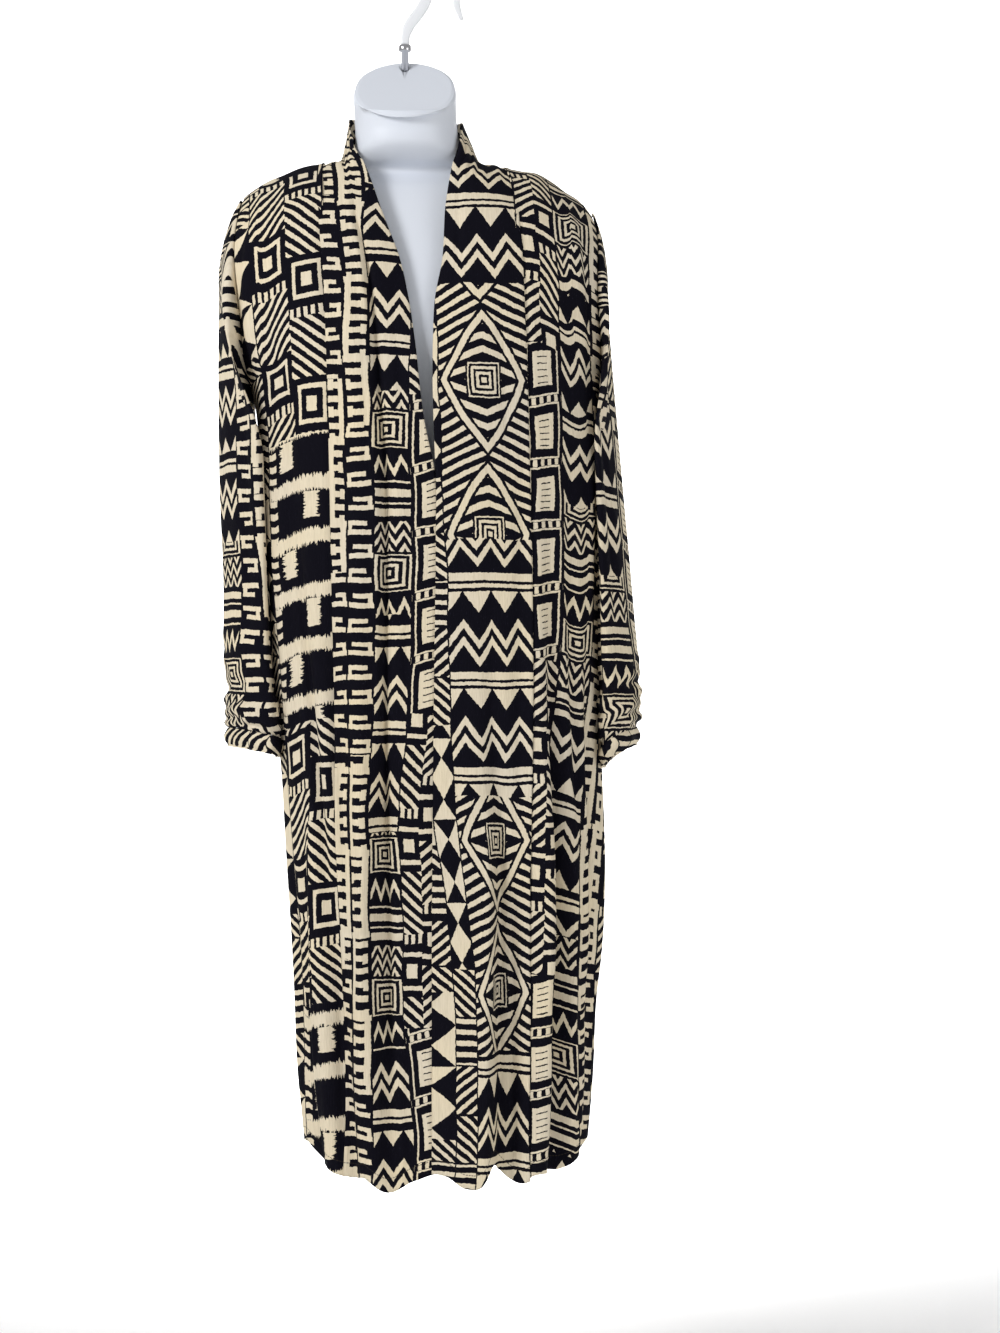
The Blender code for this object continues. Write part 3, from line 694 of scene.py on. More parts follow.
def band(side, across, rows_front, rows_collar):
    """Grid of a front band: up the front from the hem, then the collar rows to the centre back."""
    u, (seam, crease, free) = collar_lines(side, rows_collar)
    v = np.linspace(0, 1, across)[None, :, None]
    lower = seam + (crease - seam) * (v / COLLAR_BEND)
    upper = crease + (free - crease) * ((v - COLLAR_BEND) / (1 - COLLAR_BEND))
    soft = ease((v - COLLAR_BEND + COLLAR_SOFT) / (2 * COLLAR_SOFT))
    stand = lower * (1 - soft) + upper * soft
    near = np.exp(-(((u - GATHER_AT[side]) / GATHER_REACH) ** 2))[:, None]
    drift = GATHER_DRIFT * np.sin(u[:, None] * GATHER_WAVER)
    gather = GATHER * near * np.sin(2 * np.pi * (v[..., 0] * GATHERS + drift))
    stand[..., 1] -= gather
    stand[..., 2] += GATHER_RISE * gather
    whole = np.concatenate([band_front(side, across, rows_front), stand], axis=0)
    return smooth_join(whole, rows_front, JOIN_ROWS)


def smooth_join(grid, at, reach):
    """Eases the rows on both sides of a joint into each other."""
    eased = grid.copy()
    for _ in range(reach):
        middle = (eased[:-2] + eased[2:] + 2 * eased[1:-1]) / 4
        near = np.exp(-(((np.arange(1, len(grid) - 1) - at) / reach) ** 2))[:, None, None]
        eased[1:-1] = eased[1:-1] * (1 - near) + middle * near
    return eased


def tube_places(around, along):
    """Place along a tube and angle round it of each point of its grid."""
    t = np.linspace(0, 1, along)[:, None]
    turn = np.linspace(0, 2 * np.pi, around, endpoint=False)[None, :]
    return t + 0 * turn, turn + 0 * t


def ring_places(get, turn):
    """A tube's x, z and reach from its measures, its share towards the outside, and its facing."""
    mid = (1 + np.cos(turn)) / 2
    facing = np.sin(turn)
    x = get["inner_x"] + (get["outer_x"] - get["inner_x"]) * mid
    z = get["inner_z"] + (get["outer_z"] - get["inner_z"]) * mid
    return x, z, np.where(facing >= 0, get["front"], get["back"]), mid, facing


def sleeve_folds(side, t, turn):
    """How far the sleeve's creases and its crumpling above the cuff stand out."""
    stand = np.zeros_like(t)
    for at_t, at_turn, long, wide, out in SLEEVE_CREASES:
        away = turned(np.degrees(turn), at_turn)
        stand = stand + out * MM * np.exp(-(((t - at_t) / long) ** 2) - (away / wide) ** 2)
    start, run = SCRUNCH_START
    end, fade = SCRUNCH_END
    scrunch = ease((t - start) / run) * (1 - 0.5 * ease((t - end) / fade))
    high, waves, sway = SCRUNCH_FINE
    stand = stand + scrunch * high * MM * np.sin(t * waves + sway * np.sin(turn * 2 + side) + turn)
    high, waves, sway = SCRUNCH_BROAD
    return stand + scrunch * high * MM * np.sin(t * waves + sway * np.cos(turn + 0.7) + side)


def sleeve_hole(side, mid, facing):
    """The ring that a sleeve begins with: the armhole's edge, moved out by the seam's gap."""
    tip = row(SHOULDER, "z", SLEEVE_TIP[side])
    z = UNDERARM_Z + (tip - UNDERARM_Z) * mid
    front = trunk(side * armhole(z, "front"), z)
    back = trunk(np.pi - side * armhole(z, "back"), z)
    share = ease((facing + SIDE_BLEND) / (2 * SIDE_BLEND))[..., None]
    hole = back + (front - back) * share
    hole[..., 0] += side * SLEEVE_GAP[side]
    return hole


def sleeve(side, around, along):
    """Rings from the armhole down to the cuff; angle 0 is the shoulder, 180 the underarm."""
    rows = SLEEVE_RIGHT if side > 0 else SLEEVE_LEFT
    t, turn = tube_places(around, along)
    get = {name: follow(SLEEVE_COLUMNS, rows, name, t) * MM for name in SLEEVE_COLUMNS[1:]}
    x, z, reach, mid, facing = ring_places(get, turn)
    y = SLEEVE_Y - reach * facing
    stand = sleeve_folds(side, t, turn)
    lean = SLEEVE_LEAN[side] * reach * np.clip(facing, 0, 1) * ease((t - LEAN_START) / LEAN_RUN)
    x = x - side * lean
    tube = np.stack([x + side * stand * np.cos(turn), y - stand * facing, z], axis=-1)
    hole = sleeve_hole(side, mid, facing)
    return hole + (tube - hole) * ease(t / SLEEVE_BLEND)[..., None]


def cuff(side, around, along):
    """A narrow turned band below the sleeve's blousing."""
    rows = SLEEVE_RIGHT if side > 0 else SLEEVE_LEFT
    last = {name: value * MM for name, value in zip(SLEEVE_COLUMNS, rows[-1])}
    t, turn = tube_places(around, along)
    x, z, reach, _, facing = ring_places(last, turn)
    swell = CUFF_ROLL * np.sin(np.pi * np.clip(t * CUFF_SWELL, 0, 1))
    reach = reach + swell
    x = x + side * swell * np.cos(turn)
    x = x - side * SLEEVE_LEAN[side] * reach * np.clip(facing, 0, 1)
    z = z - CUFF_DROP[side] - CUFF_HEIGHT * t
    pleat = CUFF_PLEAT * np.sin(turn * CUFF_PLEATS + CUFF_TWIST * t) * np.sin(np.pi * t)
    y = SLEEVE_Y - (reach + pleat) * facing
    return np.stack([x + side * pleat * np.cos(turn), y, z], axis=-1)


def normals_of(points, around):
    """Unit normal at each point of a grid."""
    if around:
        a = np.roll(points, -1, axis=1) - np.roll(points, 1, axis=1)
    else:
        a = np.gradient(points, axis=1)
    b = np.gradient(points, axis=0)
    normal = np.cross(a, b)
    return normal / np.maximum(np.linalg.norm(normal, axis=-1, keepdims=True), 1e-12)


def lengths(points, axis):
    """Distance along the grid from its first row or column."""
    step = np.linalg.norm(np.diff(points, axis=axis), axis=-1)
    first = np.zeros_like(np.take(step, [0], axis=axis))
    return np.concatenate([first, np.cumsum(step, axis=axis)], axis=axis)


def corners(grid):
    """The four corners of each cell of a grid."""
    return np.stack([grid[:-1, :-1], grid[:-1, 1:], grid[1:, 1:], grid[1:, :-1]], axis=2)


def new_object(name, data):
    made = bpy.data.objects.new(name, data)
    bpy.context.scene.collection.objects.link(made)
    return made


def grid_object(name, points, maps=None, around=False, ends=False):
    """A grid of points made one object, closed round if it is a tube; maps are in metres of cloth."""
    rows, columns = points.shape[:2]
    index = np.arange(rows * columns).reshape(rows, columns)
    closed = np.concatenate([index, index[:, :1]], axis=1) if around else index
    faces = corners(closed).reshape(-1, 4).tolist()
    if ends:
        faces.append(index[0, ::-1].tolist())
        faces.append(index[-1].tolist())
    mesh = bpy.data.meshes.new(name)
    mesh.from_pydata(points.reshape(-1, 3).tolist(), [], faces)
    mesh.polygons.foreach_set("use_smooth", [True] * len(mesh.polygons))
    for title, uv in (maps or {}).items():
        layer = mesh.uv_layers.new(name=title)
        layer.data.foreach_set("uv", corners(uv).astype(np.float32).ravel())
    return new_object(name, mesh)


def cloth_uv(points, offset, run, around, centred):
    """Cloth coordinates in metres, from lengths on the grid; along a tube they follow z."""
    if around:
        points = np.concatenate([points, points[:, :1]], axis=1)
        across = lengths(points * LEVEL, 1)
        return np.stack([offset[0] + run * across, offset[1] - points[..., 2]], axis=-1)
    across = lengths(points, 1)
    if centred:
        middle = points.shape[1] // 2
        across = across - across[:, middle : middle + 1]
    rising = np.sign(points[-1:, :, 2] - points[:1, :, 2])
    along = lengths(points, 0) + rising * points[:1, :, 2]
    return np.stack([offset[0] + run * across, offset[1] + along], axis=-1)


def hem_map(name, points, around):
    """Distance of each point from the piece's hem; a tube here has none."""
    if around:
        return np.ones((points.shape[0], points.shape[1] + 1, 2))
    along = lengths(points, 0)
    away = along if name.startswith("band") else along[-1:] - along
    return np.stack([away, away], axis=-1)


def new_node(kind):
    """A new node in the tree that is being built."""
    return Field.tree.nodes.new("ShaderNode" + kind)


def link(source, target):
    Field.tree.links.new(source, target)


class Field:
    """A number in a shader: arithmetic on it adds math nodes."""

    tree = None

    def __init__(self, socket):
        self.socket = socket

    @staticmethod
    def math(operation, *inputs):
        node = new_node("Math")
        node.operation = operation
        for i, value in enumerate(inputs):
            if isinstance(value, Field):
                link(value.socket, node.inputs[i])
            else:
                node.inputs[i].default_value = value
        return Field(node.outputs[0])

    def __add__(self, other):
        return Field.math("ADD", self, other)

    def __radd__(self, other):
        return Field.math("ADD", other, self)

    def __sub__(self, other):
        return Field.math("SUBTRACT", self, other)

    def __rsub__(self, other):
        return Field.math("SUBTRACT", other, self)

    def __mul__(self, other):
        return Field.math("MULTIPLY", self, other)

    def __rmul__(self, other):
        return Field.math("MULTIPLY", other, self)

    def __truediv__(self, other):
        return Field.math("DIVIDE", self, other)

    def __mod__(self, other):
        return Field.math("FLOORED_MODULO", self, other)

    def __lt__(self, other):
        return Field.math("LESS_THAN", self, other)

    def __gt__(self, other):
        return Field.math("GREATER_THAN", self, other)

    def __abs__(self):
        return Field.math("ABSOLUTE", self)

    def cell(self, size):
        return Field.math("FLOOR", self / size)

    def wave(self, size):
        return Field.math("PINGPONG", self, size)


def both(a, b):
    return a * b


def either(*fields):
    total = fields[0]
    for field in fields[1:]:
        total = larger(total, field)
    return total


def larger(a, b):
    return Field.math("MAXIMUM", a, b)


def between(value, low, high):
    """1 where value lies between the two limits."""
    return abs(value - (low + high) / 2) < (high - low) / 2


def pick(choice, yes, no):
    """yes where choice is 1, and no where it is 0."""
    return no + choice * (yes - no)


def odd(value, size):
    """1 in every second cell of a size, and 0 in the others."""
    return (value.cell(size) % 2) > 0.5


def bars(value, pitch, thick):
    """1 on bars of one thickness that stand a pitch apart."""
    return (value % pitch) < thick


def noise(u, v, name):
    """One of the cloth's noises, from 0 to 1."""
    scale_u, scale_v, detail, seed = NOISE[name]
    join = new_node("CombineXYZ")
    link((u * scale_u).socket, join.inputs[0])
    link((v * scale_v).socket, join.inputs[1])
    join.inputs[2].default_value = seed
    node = new_node("TexNoise")
    node.inputs["Scale"].default_value = 1.0
    node.inputs["Detail"].default_value = detail
    link(join.outputs[0], node.inputs["Vector"])
    return Field(node.outputs[0])


def waver(u, v, name, size):
    """One of the cloth's noises as a shift in mm, as often one way as the other."""
    return (noise(u, v, name) - 0.5) * size


# The print's drawings: x runs across a strip, v along the cloth, and wide is the strip's width,
# all in mm. Each gives 1 where the cloth is cream.


def combs(x, v, wide):
    """A spine with teeth that swaps sides, with hooked ends and a bar between groups."""
    group = 88
    x = pick(odd(v, group), wide - x, x)
    spine = between(x, 2, 9)
    teeth = both(between(x, 8, wide - 4), bars(v, pitch=14.6, thick=6.7))
    hooks = both(between(x, wide - 10, wide - 4), bars(v, pitch=29.3, thick=11.5))
    return either(spine, teeth, hooks, bars(v, pitch=group, thick=6.5))


def keys(x, v, wide):
    """Small running keys."""
    tall = 26
    y = v % tall
    x = pick(odd(v, tall), wide - x, x)
    top = both(y < 5.5, x > 2.5)
    side = both(between(x, wide - 7, wide - 2), y < 15)
    under = both(between(y, 10, 15), between(x, 8, wide - 2))
    return either(top, side, under)


def zigzags(x, v, wide):
    """Rows of bars, zigzags and nested boxes, one kind to a row."""
    tall = 38
    kind = v.cell(tall) % 4
    y = v % tall
    tooth = x.wave(8.6)
    lying = either(between(y, 4, 12), between(y, 17, 19), between(y, 25, 33))
    broad = both(abs(y - 11 - tooth * 1.9) < 4.4, between(x, 2, wide - 2))
    broad = either(broad, between(y, 1, 3))
    away = larger(abs(x - wide / 2), abs(y - tall / 2) * 1.25)
    boxes = bars(away, pitch=7.4, thick=3.4)
    thin = both(bars(y - 8 - tooth * 1.5, pitch=14, thick=6.0), between(y, 3, 36))
    first = either(both(kind < 0.5, lying), both(between(kind, 0.5, 1.5), broad))
    return either(first, both(between(kind, 1.5, 2.5), boxes), both(kind > 2.5, thin))


def fringed(x, v, wide):
    """Brushed bars with ragged ends on black."""
    tall = 58
    y = v % tall
    lying = abs(y - 18) < (waver(x, v, "hair", 15) + 7.5)
    post = pick(odd(v, tall), 28.0, 63.0)
    upright = abs(x - post) < (waver(x, v, "hair_side", 13) + 8.5)
    tick = both(x > wide - 14, bars(v, pitch=13, thick=6.5))
    return either(lying, both(upright, between(y, 27, 56)), tick)


def hatching(x, v, wide):
    """Blocks of slanted stripes that change direction."""
    tall = 52
    block = v.cell(tall) % 3
    slant = pick(block > 0.5, x * 0.8 - v, x * 0.8 + v)
    slant = pick(block > 1.5, v, slant)
    return both(bars(slant, pitch=11.8, thick=5.2), 1 - bars(v, pitch=tall, thick=2.2))


def bows(x, v, wide):
    """Triangles that meet at their points."""
    tall = 44
    y = v % tall
    open_part = abs(x - wide / 2) < (abs(y - tall / 2) * (wide / tall))
    return abs(open_part - odd(v, 2 * tall))


def lozenges(x, v, wide):
    """Tall nested lozenges with a small stepped box in the middle and striped corners."""
    tall = 164
    half_wide, half_tall, hollow = wide / 2, tall / 2, 0.34
    middle = abs(x - half_wide)
    y = abs((v % tall) - half_tall)
    bow = middle * (1 / half_wide) + y * (1 / half_tall)
    bow = bow - middle * y * (hollow / half_wide / half_tall)
    rim = between(bow, 0.80, 0.93)
    stripes = both(between(bow, 0.36, 0.74), bars(y + middle * 0.35, pitch=15, thick=7))
    box = larger(middle, y * 0.9)
    heart = both(box < 17, bars(box, pitch=5.2, thick=2.7))
    room = both(bow < 0.93, box > 19)
    corner = both(bow > 0.99, bars(v + middle * 0.5, pitch=12.5, thick=5.6))
    return either(both(either(rim, stripes), room), heart, corner)


def chevrons(x, v, wide):
    """Stacks of angular Ws between plain bars, with a row of wedges."""
    y = v % 104
    tooth = wide / (4 if wide < 60 else 6)
    peak = x.wave(tooth)
    stack = y - peak * 1.35
    ws = both(bars(y - 14 - peak * 1.35, pitch=17.5, thick=9.2), between(stack, 14, 49))
    wedge = both(y - 70 > peak * 1.5, between(y, 70, 70 + tooth * 1.4))
    return either(ws, wedge, between(y, 0, 8), between(y, 97, 101))


def patches(x, v, wide):
    """Staggered blocks of slanted stripes with solid blocks between."""
    tall = 68
    right = x > wide / 2
    y = v + right * (tall / 2)
    solid = odd(y, tall)
    slant = pick(right > 0.5, x * 0.9 - v, x * 0.9 + v)
    stripes = bars(slant, pitch=13.4, thick=6)
    fringe = both((y % tall) > 58, bars(x, pitch=8, thick=4.4))
    away = larger(abs((x % (wide / 2)) - wide / 4), abs((y % tall) - 28) * 0.8)
    nest = either(between(away, 12.5, 16.5), away < 6)
    return either(both(solid, stripes), both(1 - solid, either(fringe, nest)))


def frames(x, v, wide):
    """Thin slanted frames round filled blocks."""
    tall = 68
    y = (v + x * 0.28) % tall
    across = abs(x - wide / 2)
    up = abs(y - tall / 2)
    edge = larger(across - (wide / 2 - 6), up - 28)
    block = larger(across - (wide / 2 - 12), up - 19) < 0
    dash = both(bars(y, pitch=7, thick=1.3), across < 6)
    fringe = both(up > 30.5, bars(x, pitch=9, thick=4.5))
    return either(between(edge, 0, 2.0), both(block, 1 - dash), fringe)


# strips across the cloth: the drawing, the one that takes turns with it, and the strip's width and
# the length of each turn, in mm
STRIPS = (
    (zigzags, chevrons, 52, 236),
    (combs, keys, 31, 352),
    (keys, combs, 24, 208),
    (fringed, patches, 92, 308),
    (hatching, bows, 60, 156),
    (bows, hatching, 26, 264),
    (lozenges, chevrons, 100, 276),
    (frames, patches, 46, 340),
)
CLOTH_REPEAT = sum(strip[2] for strip in STRIPS)


def strip_start(drawing):
    """Distance across the cloth, in metres, at which a strip begins."""
    start = 0
    for other, _, wide, _ in STRIPS:
        if other is drawing:
            return start * MM
        start += wide
    return 0.0


def in_mm(socket):
    """Two cloth coordinates in mm, from a socket that gives them in metres."""
    split = new_node("SeparateXYZ")
    link(socket, split.inputs[0])
    return [Field(output) * MM_PER_METRE for output in split.outputs[:2]]


def print_group():
    """The cloth's print: 1 where it is cream and 0 where it is black."""
    group = bpy.data.node_groups.new("woven_print", "ShaderNodeTree")
    group.interface.new_socket("Cloth", in_out="INPUT", socket_type="NodeSocketVector")
    group.interface.new_socket("Cream", in_out="OUTPUT", socket_type="NodeSocketFloat")
    entry = group.nodes.new("NodeGroupInput")
    leave = group.nodes.new("NodeGroupOutput")
    Field.tree = group
    u, v = in_mm(entry.outputs[0])
    sway_u = waver(u, v, "sway_u", 8) + waver(u, v, "shake_u", 1.9)
    sway_v = waver(u, v, "sway_v", 9) + waver(u, v, "shake_v", 1.9)
    u = (u + sway_u) % CLOTH_REPEAT
    v = v + sway_v
    cream = 0.0
    start = 0
    for drawing, second, wide, stretch in STRIPS:
        x = u - start
        turn = odd(v + start * 3, stretch)
        shown = pick(turn, drawing(x, v, wide), second(x, v, wide))
        cream = cream + both(shown, between(x, STRIP_EDGE, wide - STRIP_EDGE))
        start += wide
    link(cream.socket, leave.inputs[0])
    return group


def srgb(*channels):
    """Linear colour from 0-255 values."""
    return [((c / 255 + 0.055) / 1.055) ** 2.4 if c > 10 else c / 255 / 12.92 for c in channels]


CREAM_WARM = srgb(239, 222, 185)
CREAM_COOL = srgb(222, 213, 198)
CREAM_SHADOW = srgb(192, 178, 147)
BLACK_INK = srgb(12, 11, 20)
BLACK_WORN = srgb(20, 19, 28)
STITCH_THREAD = srgb(52, 46, 40)


def uv_layer(name):
    """The output of a UV layer."""
    layer = new_node("UVMap")
    layer.uv_map = name
    return layer.outputs[0]


def mixed(factor, a, b):
    """The socket of a mix of two colours, each of them a list or a socket."""
    node = new_node("Mix")
    node.data_type = "RGBA"
    sockets = [s for s in node.inputs if s.type == "RGBA"]
    for socket, value in zip(sockets, (a, b)):
        if isinstance(value, list):
            socket.default_value = (*value, 1)
        else:
            link(value, socket)
    link(factor.socket, node.inputs[0])
    return [s for s in node.outputs if s.type == "RGBA"][0]


def new_look(name):
    """A new material, whose nodes are built next, and its shader."""
    made = bpy.data.materials.new(name)
    made.use_nodes = True
    Field.tree = made.node_tree
    return made, made.node_tree.nodes["Principled BSDF"]


def crepe(name, group):
    """Crinkled crepe with the print on it."""
    made, shader = new_look(name)
    cloth = uv_layer("cloth")
    u, v = in_mm(cloth)
    printed = new_node("Group")
    printed.node_tree = group
    link(cloth, printed.inputs[0])
    hem = in_mm(uv_layer("hem"))[0] + waver(u, v, "hem", 1.6)
    line = between(hem, HEM_STITCH - STITCH_HALF, HEM_STITCH + STITCH_HALF)
    stitch = both(line, bars(u, STITCH_PITCH, STITCH_LENGTH))
    groove = between(hem, HEM_STITCH - GROOVE_HALF, HEM_STITCH + GROOVE_HALF)
    crinkle = noise(u, v, "crinkle")
    weave = noise(u, v, "weave")
    cream = mixed(noise(u, v, "tint"), CREAM_WARM, CREAM_COOL)
    darker = mixed((crinkle - 0.42) * 1.1, cream, CREAM_SHADOW)
    ink = mixed(weave * 0.5, BLACK_INK, BLACK_WORN)
    colour = mixed(stitch * 0.8, mixed(Field(printed.outputs[0]), ink, darker), STITCH_THREAD)
    link(colour, shader.inputs["Base Color"])
    shader.inputs["Roughness"].default_value = CREPE_ROUGHNESS
    shader.inputs["Specular IOR Level"].default_value = CREPE_SPECULAR
    height = crinkle * 0.8 + weave * 0.2 - groove * 0.7
    bump = new_node("Bump")
    bump.inputs["Strength"].default_value = BUMP_STRENGTH
    bump.inputs["Distance"].default_value = BUMP_DISTANCE
    link(height.socket, bump.inputs["Height"])
    link(bump.outputs[0], shader.inputs["Normal"])
    return made


def plain(name, colour, roughness, metallic=0.0, coat=0.0, grain=0.0):
    """A plain hard surface with a trace of uneven gloss."""
    made, shader = new_look(name)
    shader.inputs["Base Color"].default_value = (*colour, 1)
    shader.inputs["Metallic"].default_value = metallic
    shader.inputs["Coat Weight"].default_value = coat
    place = new_node("TexCoord")
    cloud = new_node("TexNoise")
    cloud.inputs["Scale"].default_value = GLOSS_SCALE
    link(place.outputs["Object"], cloud.inputs["Vector"])
    rough = Field(cloud.outputs[0]) * grain + (roughness - grain / 2)
    link(rough.socket, shader.inputs["Roughness"])
    return made


def ring(z, x, y, half, front, back, around, slope=0.0):
    """A rounded ring of the form, level or slanted."""
    turn = np.linspace(0, 2 * np.pi, around, endpoint=False)
    facing = np.sin(turn)
    depth = np.where(facing < 0, front, back)
    px = x + half * signed_power(np.cos(turn), 2 / FORM_ROUND)
    py = y + depth * signed_power(facing, 2 / FORM_ROUND)
    return np.stack([px, py, z + slope * (py - y)], axis=-1)


def neck_cap(around):
    """Rings of the slanted cap: up over its rounded rim, then in across its top."""
    cx, cy, cz = CAP_CENTRE
    hx, hy = CAP_HALF
    knots = range(len(CAP_SHARE))
    rings = []
    for at in np.linspace(0, knots[-1], CAP_RINGS):
        share = np.interp(at, knots, CAP_SHARE)
        inset = np.interp(at, knots, CAP_INSET)
        centre = cz - (1 - share) * CAP_HEIGHT - CAP_LIP * ease((1 - inset) * CAP_LIP_RUN)
        lean = cy + (1 - share) * CAP_SHIFT
        wide, deep = hx - CAP_BEVEL * inset, hy - CAP_BEVEL * inset
        rings.append(ring(centre, cx, lean, wide, deep, deep, around, CAP_SLOPE * share))
    for shrink in CAP_TOP:
        wide, deep = (hx - CAP_BEVEL) * shrink, (hy - CAP_BEVEL) * shrink
        rings.append(ring(cz, cx, cy, wide, deep, deep, around, CAP_SLOPE))
    return rings


def cut_socket(made):
    """Cuts the swivel's socket into the form."""
    ends = (SOCKET_FLOOR, SOCKET_TOP)
    plug = turned_piece("socket_plug", [(SOCKET_RADIUS / MM, z / MM) for z in ends])
    cut = made.modifiers.new("socket", "BOOLEAN")
    cut.object = plug
    cut.operation = "DIFFERENCE"
    cut.solver = "EXACT"
    graph = bpy.context.evaluated_depsgraph_get()
    hollowed = bpy.data.meshes.new_from_object(made.evaluated_get(graph))
    made.modifiers.clear()
    made.data = hollowed
    bpy.data.objects.remove(plug, do_unlink=True)


def torso_form(around=96, steps=150):
    """The form's rings read smoothly from its table, then the slanted neck cap."""
    columns = FORM[0]
    rows = [(i, *r) for i, r in enumerate(FORM[1:])]
    place = np.linspace(0, len(rows) - 1, steps)
    get = {name: follow(("i", *columns), rows, name, place) * MM for name in columns}
    rings = [ring(*(get[name][k] for name in columns), around) for k in range(steps)]
    made = grid_object("form_body", np.array(rings + neck_cap(around)), around=True, ends=True)
    cut_socket(made)
    return made


def turned_piece(name, profile, around=48):
    """A round piece about the hook's foot, from its radii and heights in mm."""
    turn = np.linspace(0, 2 * np.pi, around, endpoint=False)
    rings = [
        [(HOOK_FOOT[0] + r * MM * np.cos(a), r * MM * np.sin(a), z * MM) for a in turn]
        for r, z in profile
    ]
    return grid_object(name, np.array(rings), around=True, ends=True)


def hook(along=130, around=28):
    """The hook's strip, led along its path with rounded corners."""
    t = np.linspace(0, 1, along)
    turn = np.linspace(0, 2 * np.pi, around, endpoint=False)
    x, z, across, deep = (follow(HOOK[0], HOOK[1:], name, t) * MM for name in HOOK[0][1:])
    path = np.stack([x, z], axis=-1)
    tangent = np.gradient(path, axis=0)
    tangent /= np.linalg.norm(tangent, axis=1)[:, None]
    rings = []
    for (px, pz), (tx, tz), wide, thick in zip(path, tangent, across, deep):
        u = wide * signed_power(np.cos(turn), HOOK_SQUARE)
        v = thick * signed_power(np.sin(turn), HOOK_SQUARE)
        rings.append(np.stack([px + u * tz, v, pz - u * tx], axis=-1))
    return grid_object("hook_strip", np.array(rings), around=True, ends=True)


# each cloth piece: its grid, where its print begins across and along, which way the print runs across,
# and whether it is a tube
PIECES = {
    "back": (back_panel(150, 300), (strip_start(hatching), 0.03), 1, False),
    "front_left": (front_panel(-1, 72, 300), (strip_start(fringed), 0.01), 1, False),
    "front_right": (front_panel(1, 64, 300), (strip_start(frames), 0.05), 1, False),
    "band_left": (band(-1, 42, 270, 110), (strip_start(fringed) - 0.003, 0.02), -1, False),
    "band_right": (band(1, 42, 270, 110), (strip_start(frames) - 0.001, 0.07), -1, False),
    "sleeve_left": (sleeve(-1, 100, 220), (0.43, 0.06), 1, True),
    "sleeve_right": (sleeve(1, 100, 220), (0.395, 0.02), 1, True),
    "cuff_left": (cuff(-1, 140, 36), (0.20, 0.09), 1, True),
    "cuff_right": (cuff(1, 140, 36), (0.22, 0.04), 1, True),
}
# centre of the body, in metres, that the flat pieces' outsides face away from
BODY_CENTRE = np.array([-0.02, 0.0, -0.6])


def facing_out(points, around, centre):
    """Above 0 where a grid's normals point away from a centre, seen from above."""
    away = (points - centre) * LEVEL
    return np.einsum("ijk,ijk->", normals_of(points, around) * LEVEL, away)


def cloth_piece(number, name, points, offset, run, around):
    """A cloth piece: its grid with small puckers, its print and the thickness of its wall."""
    uv = cloth_uv(points, offset, run, around, name == "back")
    hem = hem_map(name, points, around)
    centre = points.mean(axis=(0, 1)) if around else BODY_CENTRE
    out = normals_of(points, around)
    if facing_out(points, around, centre) < 0:
        out = -out
    rows, columns = points.shape[:2]
    fade = 1.0 if around else ease(np.minimum(np.arange(rows), PUCKER_ROWS) / PUCKER_ROWS)[:, None]
    cloth_u, cloth_v = uv[:, :columns, 0], uv[:, :columns, 1]
    pucker = small_waves(cloth_u, cloth_v, SEED + number, PUCKER_SIZE, PUCKER_HEIGHT) * fade
    points = points + out * pucker[..., None]
    if facing_out(points, around, centre) > 0:
        points, uv, hem = points[:, ::-1], uv[:, ::-1], hem[:, ::-1]
    made = grid_object(name + "_cloth", points, {"cloth": uv, "hem": hem}, around)
    wall = made.modifiers.new("wall", "SOLIDIFY")
    wall.thickness = CLOTH
    wall.offset = -1
    made.data.materials.append(crepe("crepe_" + name, PRINT))
    return made


PRINT = print_group()
for number, (name, (points, offset, run, around)) in enumerate(PIECES.items()):
    piece = cloth_piece(number, name, points, offset, run, around)
    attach(piece, "root")
    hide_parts(name)
    "crepe_print_" + name

FORM_WHITE = plain("form_white", srgb(226, 231, 240), 0.46, grain=0.06)
HOOK_WHITE = plain("hook_white", srgb(238, 240, 243), 0.30, coat=0.3, grain=0.05)
SWIVEL_METAL = plain("swivel_metal", (0.58, 0.58, 0.60), 0.16, metallic=1.0, grain=0.05)
for piece, node, slot, look in (
    (torso_form(), "torso_form", "white_plastic_form", FORM_WHITE),
    (turned_piece("swivel_stem", SWIVEL), "hook_swivel", "plated_swivel", SWIVEL_METAL),
    (hook(), "hook", "white_plastic_hook", HOOK_WHITE),
):
    piece.data.materials.append(look)
    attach(piece, "root")
    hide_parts(node)

# the studio, in metres: the backdrop stands further behind the coat than the camera stands in front of
# it
FLOOR_Z = -1.66
FLOOR_FRONT = -5.0
BACKDROP_Y = 4.6
BACKDROP_TOP = 2.6
BACKDROP_HALF = 4.5
BEND = 0.6
BEND_STEPS = 16
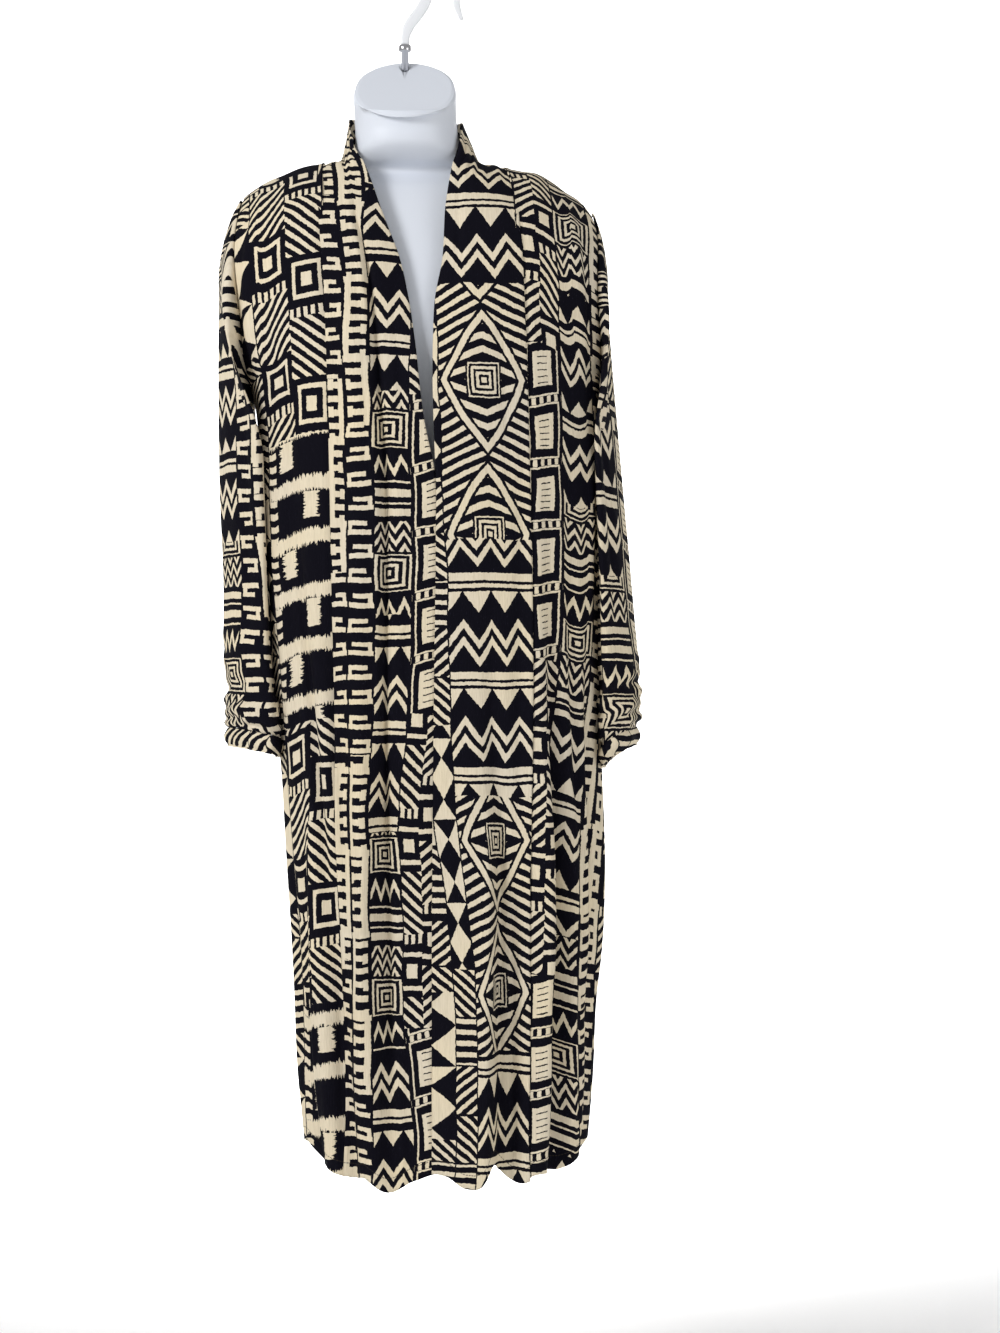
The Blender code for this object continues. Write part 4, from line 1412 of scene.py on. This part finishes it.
# area lamps: place, what they aim at, side in metres, power in watts and spread in degrees
LAMPS = (
    ("name", "place", "aim", "size", "power", "spread"),
    ("key", (-2.3, -2.1, 0.8), (0, 0, -0.6), 0.9, 60, 180),
    ("fill", (2.2, -2.0, -0.3), (0, 0, -0.7), 1.6, 16, 180),
    ("backdrop_left", (-2.6, 3.0, 0.6), (0, BACKDROP_Y, -0.7), 1.4, 74, 96),
    ("backdrop_right", (2.6, 3.0, 0.6), (0, BACKDROP_Y, -0.7), 1.4, 74, 96),
    ("floor_far", (0, 2.1, 0.9), (0, 2.1, FLOOR_Z), 1.5, 40, 62),
)
DAYLIGHT = 0.42
# the camera stands level in front of the coat; VIEW_HEIGHT is what it sees from top to bottom there
CAMERA_X = 0.0616
CAMERA_Z = -0.7857
CAMERA_DISTANCE = 2.6
VIEW_HEIGHT = 1.493
SENSOR = 36.0


def studio():
    """White floor that curves up into a backdrop."""
    profile = [(FLOOR_FRONT, FLOOR_Z)]
    for a in np.linspace(0, np.pi / 2, BEND_STEPS):
        profile.append((BACKDROP_Y - BEND + BEND * np.sin(a), FLOOR_Z + BEND - BEND * np.cos(a)))
    profile.append((BACKDROP_Y, BACKDROP_TOP))
    grid = np.array([[(x, y, z) for y, z in profile] for x in (-BACKDROP_HALF, BACKDROP_HALF)])
    sheet = grid_object("studio_floor", grid)
    look = plain("studio_white", (0.94, 0.94, 0.94), 0.9)
    sheet.data.materials.append(look)


def lamp(name, place, aim, size, power, spread):
    """A square area lamp turned to what it lights."""
    data = bpy.data.lights.new(name, "AREA")
    data.size = size
    data.energy = power
    data.spread = np.radians(spread)
    made = new_object(name, data)
    made.location = place
    direction = np.array(aim) - np.array(place)
    yaw = np.arctan2(direction[0], -direction[1])
    level = np.hypot(direction[0], direction[1])
    made.rotation_euler = (np.arctan2(level, -direction[2]), 0, yaw + np.pi)


studio()
for values in LAMPS[1:]:
    lamp(*values)

world = bpy.data.worlds.new("soft_daylight")
bpy.context.scene.world = world
world.use_nodes = True
background = world.node_tree.nodes["Background"]
background.inputs[0].default_value = (1.0, 1.0, 1.0, 1)
background.inputs[1].default_value = DAYLIGHT

eye = bpy.data.cameras.new("camera")
eye.sensor_width = SENSOR
eye.lens = SENSOR * CAMERA_DISTANCE / VIEW_HEIGHT
camera = new_object("camera", eye)
camera.location = (CAMERA_X, -CAMERA_DISTANCE, CAMERA_Z)
camera.rotation_euler = (np.pi / 2, 0, 0)
bpy.context.scene.camera = camera
bpy.context.scene.view_settings.view_transform = "Standard"
